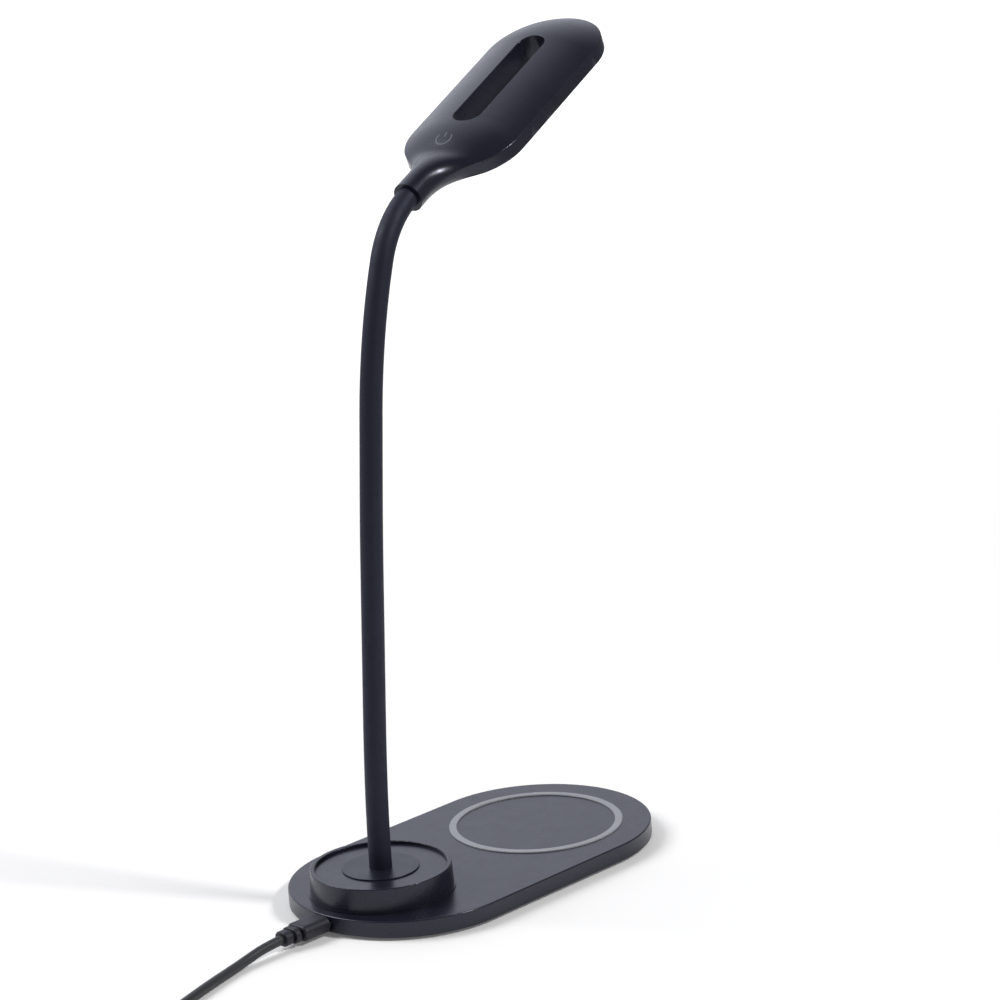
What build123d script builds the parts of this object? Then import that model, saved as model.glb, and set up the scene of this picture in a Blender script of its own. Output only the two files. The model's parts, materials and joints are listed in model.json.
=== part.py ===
from build123d import *
import os
from math import asin, atan2, cos, degrees, pi, radians, sin, sqrt, tan

# A gooseneck desk lamp on a charging base, in millimetres. +Z is up and +X runs along the
# base, from the end where the lead plugs in. The origin is on the neck's axis, on the
# surface that the lamp stands on.

# ---------------------------------------------------------------- Driving sizes
# Base: a low box with round ends
base_end_radius = 43.7
base_straight = 69.2  # between the centres of the two round ends
hub_setback = 12.8  # from the neck's axis to the centre of the near round end
base_height = 6.0
base_wall = 2.0
base_top = 1.4
base_edge_round = 0.5
pad_proud = 1.3  # how far the non-slip pad stands out below the base
pad_thickness = 1.9
pad_inset = 3.0
plate_thickness = 1.2
plate_clearance = 0.1

# Screws
base_screw_inset = 8.0
base_screw_radius = 1.1
base_screw_head_radius = 2.0
base_screw_head_height = 0.5
base_boss_radius = 2.8
far_screw_angle = 55
near_screw_angle = 128
hub_screw_radius = 1.5
hub_screw_head_radius = 2.7
hub_screw_head_height = 1.5
hub_screw_length = 6.0
hub_screw_reach = 18.0
hub_screw_count = 3
board_screw_radius = 0.9
board_screw_head_radius = 1.7
board_screw_head_height = 0.8
board_screw_length = 1.9
screw_fit = 0.02
screw_clearance = 0.2

# Charging spot
ring_radius = 33.0
ring_width = 3.0
ring_depth = 0.8  # how deep the light ring is let into the base
ring_proud = 0.5
coil_radius = 22.0
coil_bore = 9.0
coil_thickness = 1.2
ferrite_margin = 3.0

# Ballast, control board and socket
ballast_thickness = 1.5
ballast_margin = 4.0
ballast_start = 19.0  # its straight edge, past the hub
board_length = 37.0
board_width = 20.0
board_thickness = 0.8
board_near_gap = 6.2  # from the base's near end to the board
chip_length = 5.0
small_chip_length = 4.0
small_chip_width = 3.0
capacitor_length = 2.0
capacitor_width = 1.2
capacitor_pitch = 2.2
standoff_radius = 2.0
standoff_spacing_x = 28.0
standoff_spacing_y = 14.0
socket_width = 8.94
socket_height = 3.2
socket_length = 7.3
socket_wall = 0.27
socket_recess = 0.4
tongue_width = 6.7
tongue_thickness = 0.7
tongue_length = 4.6

# Hub
hub_top_radius = 25.8
hub_foot_radius = 26.2
hub_height = 9.2
hub_rim_width = 1.8
hub_recess = 1.2
hub_wall = 2.0
hub_deck = 2.5
hub_flange_proud = 0.6
hub_flange_height = 0.6
hub_boss_radius = 3.2
disc_radius = 14.1
disc_thickness = 0.5
disc_hole_clearance = 0.1
wire_hole_radius = 3.5

# Neck: stiff lengths of sleeve, with a ball at the end of each and a cup at the start of the
# next one
sleeve_radius = 4.15
core_radius = 2.6
core_bore = 1.5
core_fit = 0.02
neck_pitch = 27.58
neck_turns = (3.5, 2.1, 0, 0, 1.4, 0, 6.9, 7.8, 45.2)  # degrees, over each length
neck_heading = 10.5  # the plane in which the neck leans, from +X towards +Y
ball_radius = 3.75
cup_clearance = 0.07
ball_shoulder = 0.4
cup_rim = 0.7
core_gap = 0.5  # from the cup to the next length of core
core_grip = 5.3  # how far the core goes into each ferrule
ferrule_radius = 5.0
ferrule_flange_radius = 6.8
ferrule_flange = 1.0
ferrule_tail = 4.3  # below the hub's deck
nut_across_flats = 14.0
nut_thickness = 3.5
thread_fit = 0.05

# Head, in its own frame: the origin is at the middle of the slot, level with the edge where
# the dome meets the side wall
head_length = 105.3
head_width = 46.6
head_side = 5.14
dome_height = 6.34
head_wall = 1.8
dome_wall = 1.6
slot_length = 59.3
slot_width = 11.3
slot_wall = 1.5
collar_radius = 5.7
collar_length = 19.15  # from the collar's mouth to the head's near end
swell_join = 42.6  # degrees round the near end at which the neck's swell runs into it
swell_fall = 2.65  # how far the neck's crown falls before the dome takes over
swell_blend = 1.6
collar_foot = 0.6  # half of the flat along the collar's lowest line
swell_steps = 13
seat_depth = 9.0
seat_clearance = 0.1
neck_ferrule_radius = 3.9
neck_ferrule_body = 5.6
neck_ferrule_nose_radius = 3.0
neck_ferrule_gap = 0.45  # from the ferrule's end to the head's inner wall
head_wire_hole_reach = 5.85  # past the head's inner wall
rim_round = 0.25  # how far from the rim's corner its round starts
foot_round = 0.25
slot_round = 0.3
grub_screw_radius = 1.5
grub_screw_offset = 1.75  # from the head's near end
grub_screw_sunk = 0.2
grub_screw_bite = 0.65  # how far it goes into the ferrule
grub_screw_key = 1.5
grub_screw_key_depth = 1.2
diffuser_thickness = 1.5
diffuser_gap = 0.1
ledge = 0.8
slot_ledge = 0.7
led_board_thickness = 1.0
led_board_drop = 0.4  # below the dome's edge
led_board_gap = 0.6
led_size = 2.8
led_height = 0.7
led_pitch = 6.0
leds_in_row = 10
led_end_inset = 9.65
led_end_spread = 12.6
led_boss_radius = 2.2
led_boss_end_inset = 15.65
led_boss_side_inset = 11.3
led_boss_seat = 0.7  # how far the bosses stand in the dome
led_screw_radius = 0.8
led_screw_head_radius = 1.6
led_screw_head_height = 0.9
led_screw_length = 2.6
touch_inset = 10.65  # from the head's near end
touch_board_length = 9.0
touch_board_width = 8.0
touch_board_thickness = 0.8
touch_pad_radius = 2.6

# Lead
lead_diameter = 3.6
plug_width = 10.4
plug_height = 5.8
plug_length = 12.0
plug_gap = 0.3
plug_face_round = 0.4
plug_back_round = 1.0
relief_neck_width = 5.4
relief_neck_height = 4.4
relief_length = 7.5
relief_groove = 1.0
relief_big_width = 8.4
relief_big_height = 5.6
relief_big_length = 2.4
relief_small_width = 6.8
relief_small_height = 5.4
relief_round = 0.5
tip_width = 8.25
tip_height = 2.4
tip_length = 6.65
tip_wall = 0.3
coil_turn_radius = 20.0  # middle of the wound lead
coil_across = 4  # turns side by side, with one fewer on top
coil_pitch = 3.55
tail_angle = 215
tail_step = 20.0
tail_turn = 35
far_plug_width = 15.6
far_plug_height = 7.6
far_plug_length = 24.0
far_plug_corner = 1.6
far_relief_length = 8.0
far_relief_radius = 2.9
far_relief_tip_radius = 2.55
far_relief_rib = 0.3
far_relief_ribs = 3
far_shell_width = 12.0
far_shell_height = 4.5
far_shell_wall = 0.3
far_shell_length = 18.8
far_shell_insert = 6.8
far_tongue_thickness = 1.9
tie_width = 6.0
tie_thickness = 0.6
tie_gap = 0.05
tie_angle = 20

# ---------------------------------------------------------------- Levels and places
near_centre = hub_setback
far_centre = hub_setback + base_straight
base_middle = (near_centre + far_centre) / 2
near_end = near_centre - base_end_radius
charge_x = far_centre
base_bottom_z = pad_proud
base_top_z = base_bottom_z + base_height
cavity_top_z = base_top_z - base_top
plate_top_z = base_bottom_z + plate_thickness
ballast_top_z = plate_top_z + ballast_thickness
board_bottom_z = ballast_top_z
board_top_z = board_bottom_z + board_thickness
socket_z = (plate_top_z + cavity_top_z) / 2
wound_z = tie_thickness + lead_diameter / 2
upper_turn_z = wound_z + coil_pitch * sqrt(3) / 2
turn_places = [
    (coil_turn_radius + coil_pitch * (spot - (coil_across - 1) / 2), wound_z)
    for spot in range(coil_across)
] + [
    (coil_turn_radius + coil_pitch * (spot - (coil_across - 2) / 2), upper_turn_z)
    for spot in range(coil_across - 1)
]
outer_turn = turn_places[coil_across - 1][0]
hub_top_z = base_top_z + hub_height
deck_top_z = hub_top_z - hub_recess
deck_bottom_z = deck_top_z - hub_deck
disc_top_z = deck_top_z + disc_thickness
board_start = near_end + board_near_gap
board_middle = board_start + board_length / 2

base_screw_ring = base_end_radius - base_screw_inset
base_screw_places = [
    (far_centre + base_screw_ring * cos(radians(far_screw_angle)),
     base_screw_ring * sin(radians(far_screw_angle)) * side)
    for side in (1, -1)
] + [
    (near_centre + base_screw_ring * cos(radians(near_screw_angle)),
     base_screw_ring * sin(radians(near_screw_angle)) * side)
    for side in (1, -1)
] + [(base_middle, base_screw_ring * side) for side in (1, -1)]
standoff_places = [
    (board_middle + standoff_spacing_x / 2, standoff_spacing_y / 2),
    (board_middle + standoff_spacing_x / 2, -standoff_spacing_y / 2),
]


def level(z):
    """A horizontal plane at a height."""
    return Plane.XY.offset(z)


def base_outline(inset):
    """The base's outline, drawn in by inset, in the sketch in hand."""
    with Locations((base_middle, 0)):
        SlotCenterToCenter(base_straight, 2 * (base_end_radius - inset))


def write(piece, name):
    """Names a finished piece and writes its file."""
    piece.part.label = name
    export_step(piece.part, "parts/" + name + ".step")


os.makedirs("parts", exist_ok=True)

# ---------------------------------------------------------------- Base
with BuildPart() as base_cover:
    with BuildSketch(level(base_bottom_z)):
        base_outline(0)
    extrude(amount=base_height)
    fillet(base_cover.edges().group_by(Axis.Z)[-1], base_edge_round)
    with BuildSketch(level(base_bottom_z)):
        base_outline(base_wall)
    extrude(amount=base_height - base_top, mode=Mode.SUBTRACT)
    with BuildSketch(level(plate_top_z)):
        with Locations(*base_screw_places):
            Circle(base_boss_radius)
    extrude(amount=cavity_top_z - plate_top_z)
    with BuildSketch(level(plate_top_z)):
        with Locations(*base_screw_places):
            Circle(base_screw_radius + screw_fit)
    extrude(amount=cavity_top_z - plate_top_z, mode=Mode.SUBTRACT)
    # Groove of the light ring
    with BuildSketch(level(base_top_z - ring_depth)):
        with Locations((charge_x, 0)):
            Circle(ring_radius)
            Circle(ring_radius - ring_width, mode=Mode.SUBTRACT)
    extrude(amount=ring_depth, mode=Mode.SUBTRACT)
    # Wires pass up into the hub, and the hub's screws pass through
    with BuildSketch(level(cavity_top_z)):
        Circle(wire_hole_radius)
        with PolarLocations(hub_screw_reach, hub_screw_count):
            Circle(hub_screw_radius + screw_clearance)
    extrude(amount=base_top, mode=Mode.SUBTRACT)
    # Mouth of the socket, through the near end's wall
    with BuildSketch(Plane.YZ.offset(near_end - base_wall)):
        with Locations((0, socket_z)):
            SlotOverall(socket_width, socket_height)
    extrude(amount=3 * base_wall, mode=Mode.SUBTRACT)
write(base_cover, "base_cover")

with BuildPart() as base_plate:
    with BuildSketch(level(base_bottom_z)):
        base_outline(base_wall + plate_clearance)
    extrude(amount=plate_thickness)
    with BuildSketch(level(base_bottom_z)):
        base_outline(pad_inset)
    extrude(amount=pad_thickness - pad_proud, mode=Mode.SUBTRACT)
    with BuildSketch(level(plate_top_z)):
        with Locations(*standoff_places):
            Circle(standoff_radius)
    extrude(amount=board_bottom_z - plate_top_z)
    with BuildSketch(level(pad_thickness)):
        with Locations(*base_screw_places):
            Circle(base_screw_radius + screw_clearance)
        with Locations(*standoff_places):
            Circle(board_screw_radius + screw_fit)
    extrude(amount=board_bottom_z - pad_thickness, mode=Mode.SUBTRACT)
    with BuildSketch(level(pad_thickness)):
        with Locations(*base_screw_places):
            Circle(base_screw_head_radius + screw_clearance)
    extrude(amount=base_screw_head_height, mode=Mode.SUBTRACT)
write(base_plate, "base_plate")

with BuildPart() as base_pad:
    with BuildSketch(level(0)):
        base_outline(pad_inset)
    extrude(amount=pad_thickness)
write(base_pad, "base_pad")

with BuildPart() as base_screws:
    with BuildSketch(level(pad_thickness)):
        with Locations(*base_screw_places):
            Circle(base_screw_head_radius)
    extrude(amount=base_screw_head_height)
    with BuildSketch(level(pad_thickness + base_screw_head_height)):
        with Locations(*base_screw_places):
            Circle(base_screw_radius)
    extrude(amount=cavity_top_z - pad_thickness - base_screw_head_height - screw_clearance)
write(base_screws, "base_screws")

with BuildPart() as ballast_plate:
    with BuildSketch(level(plate_top_z)):
        base_outline(base_wall + ballast_margin)
        with Locations((ballast_start, 0)):
            Rectangle(4 * base_end_radius, 4 * base_end_radius, align=(Align.MAX, Align.CENTER),
                      mode=Mode.SUBTRACT)
        with Locations(*base_screw_places):
            Circle(base_boss_radius + screw_clearance, mode=Mode.SUBTRACT)
    extrude(amount=ballast_thickness)
write(ballast_plate, "ballast_plate")

with BuildPart() as charge_ring:
    with BuildSketch(level(base_top_z - ring_depth)):
        with Locations((charge_x, 0)):
            Circle(ring_radius)
            Circle(ring_radius - ring_width, mode=Mode.SUBTRACT)
    extrude(amount=ring_depth + ring_proud)
    fillet(charge_ring.edges().group_by(Axis.Z)[-1], ring_proud * 0.8)
write(charge_ring, "charge_ring")

with BuildPart() as charge_coil:
    with BuildSketch(level(cavity_top_z - coil_thickness)):
        with Locations((charge_x, 0)):
            Circle(coil_radius)
            Circle(coil_bore, mode=Mode.SUBTRACT)
    extrude(amount=coil_thickness)
write(charge_coil, "charge_coil")

with BuildPart() as ferrite_shield:
    with BuildSketch(level(ballast_top_z)):
        with Locations((charge_x, 0)):
            Circle(coil_radius + ferrite_margin)
    extrude(amount=cavity_top_z - coil_thickness - ballast_top_z)
write(ferrite_shield, "ferrite_shield")

socket_mouth = near_end + socket_recess
with BuildPart() as usb_socket_shell:
    with BuildSketch(Plane.YZ.offset(socket_mouth)):
        with Locations((0, socket_z)):
            SlotOverall(socket_width, socket_height)
    extrude(amount=socket_length)
    with BuildSketch(Plane.YZ.offset(socket_mouth)):
        with Locations((0, socket_z)):
            SlotOverall(socket_width - 2 * socket_wall, socket_height - 2 * socket_wall)
    extrude(amount=socket_length - socket_wall, mode=Mode.SUBTRACT)
write(usb_socket_shell, "usb_socket_shell")

with BuildPart() as usb_socket_tongue:
    with BuildSketch(Plane.YZ.offset(socket_mouth + socket_length - socket_wall)):
        with Locations((0, socket_z)):
            Rectangle(tongue_width, tongue_thickness)
    extrude(amount=-tongue_length)
write(usb_socket_tongue, "usb_socket_tongue")

with BuildPart() as control_board:
    with BuildSketch(level(board_bottom_z)):
        with Locations((board_middle, 0)):
            Rectangle(board_length, board_width)
        with Locations((board_start, 0)):
            Rectangle(2 * (socket_mouth + socket_length - board_start), socket_width,
                      mode=Mode.SUBTRACT)
        with Locations(*standoff_places):
            Circle(board_screw_radius + screw_clearance, mode=Mode.SUBTRACT)
    extrude(amount=board_thickness)
write(control_board, "control_board")

board_part_height = cavity_top_z - board_top_z - screw_clearance
with BuildPart() as board_parts:
    with BuildSketch(level(board_top_z)):
        with Locations((board_middle - board_length * 0.1, 0)):
            Rectangle(chip_length, chip_length)
        with Locations((board_middle + board_length * 0.1, board_width * 0.2)):
            Rectangle(small_chip_length, small_chip_length)
        with Locations((board_middle + board_length * 0.1, -board_width * 0.25)):
            Rectangle(small_chip_length, small_chip_width)
        with Locations((board_middle - board_length * 0.1, board_width * 0.36)):
            with GridLocations(capacitor_pitch, 0, 4, 1):
                Rectangle(capacitor_width, capacitor_length)
        with Locations((board_middle - board_length * 0.1, -board_width * 0.36)):
            with GridLocations(capacitor_pitch, 0, 4, 1):
                Rectangle(capacitor_width, capacitor_length)
    extrude(amount=board_part_height)
write(board_parts, "board_parts")

with BuildPart() as board_screws:
    with BuildSketch(level(board_top_z)):
        with Locations(*standoff_places):
            Circle(board_screw_head_radius)
    extrude(amount=board_screw_head_height)
    with BuildSketch(level(board_top_z)):
        with Locations(*standoff_places):
            Circle(board_screw_radius)
    extrude(amount=-board_screw_length)
write(board_screws, "board_screws")

# ---------------------------------------------------------------- Hub
with BuildPart() as hub_housing:
    with BuildSketch(Plane.XZ):
        with BuildLine():
            Polyline(
                (0, deck_bottom_z),
                (hub_top_radius - hub_wall, deck_bottom_z),
                (hub_foot_radius - hub_wall, base_top_z),
                (hub_foot_radius + hub_flange_proud, base_top_z),
                (hub_foot_radius + hub_flange_proud, base_top_z + hub_flange_height),
                (hub_foot_radius, base_top_z + hub_flange_height),
                (hub_top_radius, hub_top_z),
                (hub_top_radius - hub_rim_width, hub_top_z),
                (hub_top_radius - hub_rim_width, deck_top_z),
                (0, deck_top_z),
                close=True,
            )
        make_face()
    revolve(axis=Axis.Z)
    fillet(hub_housing.edges().group_by(Axis.Z)[-1], hub_rim_width * 0.2)
    with BuildSketch(level(base_top_z)):
        with PolarLocations(hub_screw_reach, hub_screw_count):
            Circle(hub_boss_radius)
    extrude(amount=deck_bottom_z - base_top_z)
    with BuildSketch(level(base_top_z)):
        with PolarLocations(hub_screw_reach, hub_screw_count):
            Circle(hub_screw_radius + screw_fit)
    extrude(amount=deck_bottom_z - base_top_z, mode=Mode.SUBTRACT)
    # Seat of the neck's ferrule
    with BuildSketch(level(deck_bottom_z)):
        Circle(ferrule_radius + thread_fit)
    extrude(amount=hub_deck, mode=Mode.SUBTRACT)
    with BuildSketch(level(deck_top_z - ferrule_flange)):
        Circle(ferrule_flange_radius + thread_fit)
    extrude(amount=ferrule_flange, mode=Mode.SUBTRACT)
write(hub_housing, "hub_housing")

with BuildPart() as hub_disc:
    with BuildSketch(level(deck_top_z)):
        Circle(disc_radius)
        Circle(sleeve_radius + disc_hole_clearance, mode=Mode.SUBTRACT)
    extrude(amount=disc_thickness)
    fillet(hub_disc.edges().group_by(Axis.Z)[-1].sort_by(Edge.length)[-1], disc_thickness * 0.4)
write(hub_disc, "hub_disc")

with BuildPart() as hub_screws:
    with BuildSketch(level(cavity_top_z)):
        with PolarLocations(hub_screw_reach, hub_screw_count):
            Circle(hub_screw_head_radius)
    extrude(amount=-hub_screw_head_height)
    with BuildSketch(level(cavity_top_z)):
        with PolarLocations(hub_screw_reach, hub_screw_count):
            Circle(hub_screw_radius)
    extrude(amount=hub_screw_length)
write(hub_screws, "hub_screws")

with BuildPart() as neck_lower_ferrule:
    with BuildSketch(Plane.XZ):
        with BuildLine():
            Polyline(
                (core_bore, deck_bottom_z - ferrule_tail),
                (ferrule_radius, deck_bottom_z - ferrule_tail),
                (ferrule_radius, deck_top_z - ferrule_flange),
                (ferrule_flange_radius, deck_top_z - ferrule_flange),
                (ferrule_flange_radius, deck_top_z),
                (core_radius, deck_top_z),
                (core_radius, deck_top_z - core_grip),
                (core_bore, deck_top_z - core_grip),
                close=True,
            )
        make_face()
    revolve(axis=Axis.Z)
write(neck_lower_ferrule, "neck_lower_ferrule")

with BuildPart() as neck_nut:
    with BuildSketch(level(deck_bottom_z - nut_thickness)):
        RegularPolygon(nut_across_flats / 2, 6, major_radius=False)
        Circle(ferrule_radius + thread_fit, mode=Mode.SUBTRACT)
    extrude(amount=nut_thickness)
write(neck_nut, "neck_nut")

# ---------------------------------------------------------------- Neck
# The neck lies in one upright plane. A place on it is (reach, height), and its lean is the
# angle from upright, in degrees.
heading = Vector(cos(radians(neck_heading)), sin(radians(neck_heading)), 0)
across = Vector(-heading.Y, heading.X, 0)
neck_plane = Plane(origin=(0, 0, 0), x_dir=heading, z_dir=across * -1)


def along(place, lean, turn, length):
    """The place and lean a length further along a stretch that turns evenly."""
    reach, height = place
    start = radians(lean)
    end = radians(lean + turn)
    if turn == 0:
        return (reach + length * sin(start), height + length * cos(start)), lean
    radius = length / (end - start)
    return (reach + radius * (cos(start) - cos(end)),
            height + radius * (sin(end) - sin(start))), lean + turn


def neck_line(place, lean, turn, length):
    """Draws the stretch in the line in hand."""
    tangent = (sin(radians(lean)), cos(radians(lean)))
    if turn == 0:
        end = along(place, lean, turn, length)[0]
        return Line(place, end)
    return JernArc(start=place, tangent=tangent, radius=length / abs(radians(turn)),
                   arc_size=-turn)


def neck_direction(lean):
    """The way the neck runs at a lean."""
    return heading * sin(radians(lean)) + Vector(0, 0, cos(radians(lean)))


def neck_face(place, lean):
    """The plane across the neck at a place."""
    return Plane(origin=heading * place[0] + Vector(0, 0, place[1]), x_dir=across,
                 z_dir=neck_direction(lean))


hinges = [((0, deck_top_z), 0)]
for turn in neck_turns:
    hinges.append(along(*hinges[-1], turn, neck_pitch))
neck_count = len(neck_turns)
ball_foot = sqrt(ball_radius**2 - ball_shoulder**2)
ball_mouth = sqrt(ball_radius**2 - core_radius**2)
ball_side = ball_radius * cos(radians(20)), ball_radius * sin(radians(20))

for number, turn in enumerate(neck_turns, start=1):
    (place, lean), (next_place, next_lean) = hinges[number - 1], hinges[number]
    first, last = number == 1, number == neck_count
    start = 0 if first else cup_rim
    end = neck_pitch if last else neck_pitch - ball_shoulder
    start_place, start_lean = along(place, lean, turn * start / neck_pitch, start)
    end_place, end_lean = along(place, lean, turn * end / neck_pitch, end)
    with BuildPart() as neck_sleeve:
        with BuildLine(neck_plane) as run:
            neck_line(start_place, start_lean, turn * (end - start) / neck_pitch, end - start)
        with BuildSketch(neck_face(start_place, start_lean)):
            Circle(sleeve_radius)
            Circle(core_radius, mode=Mode.SUBTRACT)
        sweep(path=run.wires()[0])
        end_face = neck_face(end_place, end_lean)
        if last:
            with BuildSketch(end_face):
                Circle(sleeve_radius)
                Circle(core_radius, mode=Mode.SUBTRACT)
            extrude(amount=seat_depth)
        else:
            # Ball that the next length turns on
            centre = end_face.offset(ball_shoulder).origin
            with BuildSketch(Plane(origin=centre, x_dir=across,
                                   z_dir=across.cross(end_face.z_dir))):
                with BuildLine():
                    Line((core_radius, -ball_shoulder), (ball_foot, -ball_shoulder))
                    ThreePointArc((ball_foot, -ball_shoulder), ball_side,
                                  (core_radius, ball_mouth))
                    Line((core_radius, ball_mouth), (core_radius, -ball_shoulder))
                make_face()
            revolve(axis=Axis(centre, end_face.z_dir))
        if not first:
            # Cup over the ball below
            with Locations(neck_face(place, lean)):
                Sphere(ball_radius + cup_clearance, mode=Mode.SUBTRACT)
    write(neck_sleeve, "neck_sleeve_" + str(number))

    core_start = 0 if first else ball_radius + cup_clearance + core_gap
    core_place, core_lean = along(place, lean, turn * core_start / neck_pitch, core_start)
    with BuildPart() as neck_coil:
        with BuildLine(neck_plane) as run:
            neck_line(core_place, core_lean, turn * (1 - core_start / neck_pitch),
                      neck_pitch - core_start)
        with BuildSketch(neck_face(core_place, core_lean)):
            Circle(core_radius - core_fit)
            Circle(core_bore, mode=Mode.SUBTRACT)
        sweep(path=run.wires()[0])
        if first:
            with BuildSketch(neck_face(place, lean)):
                Circle(core_radius - core_fit)
                Circle(core_bore, mode=Mode.SUBTRACT)
            extrude(amount=-core_grip)
        if last:
            with BuildSketch(neck_face(next_place, next_lean)):
                Circle(core_radius - core_fit)
                Circle(core_bore, mode=Mode.SUBTRACT)
            extrude(amount=seat_depth + core_grip)
    write(neck_coil, "neck_coil_" + str(number))

# ---------------------------------------------------------------- Head
# The head carries on in line with the neck's end. Its underside is level with the lowest
# line of the collar.
mouth_place, head_lean = hinges[-1]
collar_reach = head_length / 2 + collar_length
head_along = heading * sin(radians(head_lean)) + Vector(0, 0, cos(radians(head_lean)))
head_up = heading * -cos(radians(head_lean)) + Vector(0, 0, sin(radians(head_lean)))
mouth = heading * mouth_place[0] + Vector(0, 0, mouth_place[1])
collar_height = collar_radius - head_side
head_centre = mouth + head_along * collar_reach - head_up * collar_height
head_plane = Plane(origin=head_centre, x_dir=head_along, z_dir=head_up)
head_straight = head_length - head_width
half_width = head_width / 2
led_board_top = -led_board_drop
led_row = (slot_width / 2 + slot_wall + half_width - head_wall) / 2
led_end_x = head_length / 2 - led_end_inset
led_end_y = led_end_spread / 2
led_boss_x = head_length / 2 - led_boss_end_inset
led_boss_y = half_width - led_boss_side_inset
touch_x = touch_inset - head_length / 2
grub_screw_x = -head_length / 2 - grub_screw_offset
grub_screw_tip = collar_height - neck_ferrule_nose_radius + grub_screw_bite
neck_ferrule_length = collar_length + head_wall - neck_ferrule_gap - seat_depth
head_wire_hole_end = collar_length + head_wall + head_wire_hole_reach
dome_radius = (half_width**2 + dome_height**2) / (2 * dome_height)
led_boss_reach = sqrt((led_boss_x - head_straight / 2)**2 + led_boss_y**2)
led_boss_top = sqrt((dome_radius - dome_wall)**2 - led_boss_reach**2) - dome_radius \
    + dome_height + led_boss_seat


def head_level(height):
    """The plane across the head's own up direction, at a height above the dome's edge."""
    return head_plane.offset(height)


def head_section(x):
    """The plane across the head at a distance along it, with y up."""
    return Plane(origin=head_centre + head_along * x, x_dir=head_up.cross(head_along),
                 z_dir=head_along)


def head_outline(inset):
    """The head's outline, drawn in by inset, in the sketch in hand."""
    SlotCenterToCenter(head_straight, head_width - 2 * inset)


def slot_outline(margin, mode=Mode.ADD):
    """The slot's outline, grown by margin, in the sketch in hand."""
    SlotOverall(slot_length + 2 * margin, slot_width + 2 * margin, mode=mode)


def dome_line(inset):
    """Half of the dome's section, sunk by inset: its reach at the edge, halfway, and its
    height there and in the middle."""
    radius = dome_radius - inset
    drop = dome_radius - dome_height
    reach = sqrt(radius**2 - drop**2)
    return reach, (reach / 2, sqrt(radius**2 - reach**2 / 4) - drop), radius - drop


def dome(inset):
    """The dome sunk by inset: an even arch between two ends that are turned from half of it."""
    reach, halfway, top = dome_line(inset)
    with BuildPart() as shape:
        with BuildSketch(head_section(-head_straight / 2)):
            with BuildLine():
                ThreePointArc((-reach, 0), (0, top), (reach, 0))
                Line((reach, 0), (-reach, 0))
            make_face()
        extrude(amount=head_straight)
        for end in (-1, 1):
            place = Plane(origin=head_centre + head_along * end * head_straight / 2,
                          x_dir=head_along, z_dir=head_up.cross(head_along) * -1)
            with BuildSketch(place):
                with BuildLine():
                    ThreePointArc((0, top), halfway, (reach, 0))
                    Line((reach, 0), (0, 0))
                    Line((0, 0), (0, top))
                make_face()
            revolve(axis=Axis(place.origin, head_up))
    return shape.part


# The neck swells from the collar into the head's round end. Its outline is a parabola that
# meets the end's arc without a corner, and its crown falls until the dome takes over.
join_x = -head_straight / 2 - half_width * cos(radians(swell_join))
join_width = half_width * sin(radians(swell_join))
swell_length = 2 * (join_width - collar_radius) * tan(radians(swell_join))
swell_start = join_x - swell_length
swell_end = slot_wall + slot_width / 2 - head_straight / 2


def swell_width(x):
    """Half the outline's width at a distance along the head."""
    if x < join_x:
        return collar_radius + (join_width - collar_radius) * ((x - swell_start)
                                                               / swell_length)**2
    return sqrt(half_width**2 - min(x + head_straight / 2, 0)**2)


def swell_crown(x):
    """The crown's height at a distance along the head."""
    neck = 2 * collar_radius - head_side - swell_fall * ((x - swell_start) / swell_length)**2
    head = sqrt(dome_radius**2 - min(x + head_straight / 2, 0)**2) - dome_radius + dome_height
    meet = max(1 - abs(neck - head) / swell_blend, 0)
    return max(neck, head) + swell_blend * meet**2 / 4


def rim_corner(wide, side, crown):
    """The round where a crown meets its side, at a height: where it leaves the crown, the
    corner that it rounds, and where it meets the side."""
    radius = (wide**2 + (crown - side)**2) / (2 * (crown - side))
    centre = crown - radius
    angle = atan2(side - centre, wide) + rim_round / radius
    start = (radius * cos(angle), centre + radius * sin(angle))
    corner = start[1] - (wide - start[0]) / tan(angle)
    return start, (wide, corner), (wide, side - rim_round)


def mirrored(*places):
    """The same places on the other side, the other way round."""
    return [(-across_x, up) for across_x, up in reversed(places)]


def swell_section(x):
    """The section at a distance along the head, from the collar's round to the head's arch
    on two straight sides."""
    roundness = min(max((join_x - x) / swell_length, 0), 1)
    wide = swell_width(x)
    crown = swell_crown(x)
    foot = (wide - (wide - collar_foot) * roundness, -head_side)
    side = collar_height * roundness
    high = side + head_side
    rim = rim_corner(wide, side, crown)
    upper = (wide, side - high * (1 / 3 + 0.22 * roundness))
    lower = (foot[0] + (wide - foot[0]) * 0.55, -head_side + high * (1 - roundness) / 3)
    share = foot_round / sqrt((foot[0] - lower[0])**2 + (foot[1] - lower[1])**2)
    foot_start = (foot[0] + (lower[0] - foot[0]) * share, foot[1] + (lower[1] - foot[1]) * share)
    wall = (rim[2], upper, lower, foot_start)
    under = (foot_start, foot, (foot[0] - foot_round, foot[1]))
    with BuildSketch(head_section(x)) as section:
        with BuildLine():
            ThreePointArc((-rim[0][0], rim[0][1]), (0, crown), rim[0])
            Bezier(*rim)
            Bezier(*wall)
            Bezier(*under)
            Line(under[2], (-under[2][0], under[2][1]))
            Bezier(*mirrored(*under))
            Bezier(*mirrored(*wall))
            Bezier(*mirrored(*rim))
        make_face()
    return section.sketch


with BuildPart() as head_swell:
    for step in range(swell_steps):
        add(swell_section(swell_start + (swell_end - swell_start) * step / (swell_steps - 1)))
    loft()
    extrude(swell_section(swell_start).faces()[0], amount=collar_reach + swell_start,
            dir=head_along * -1)

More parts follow.
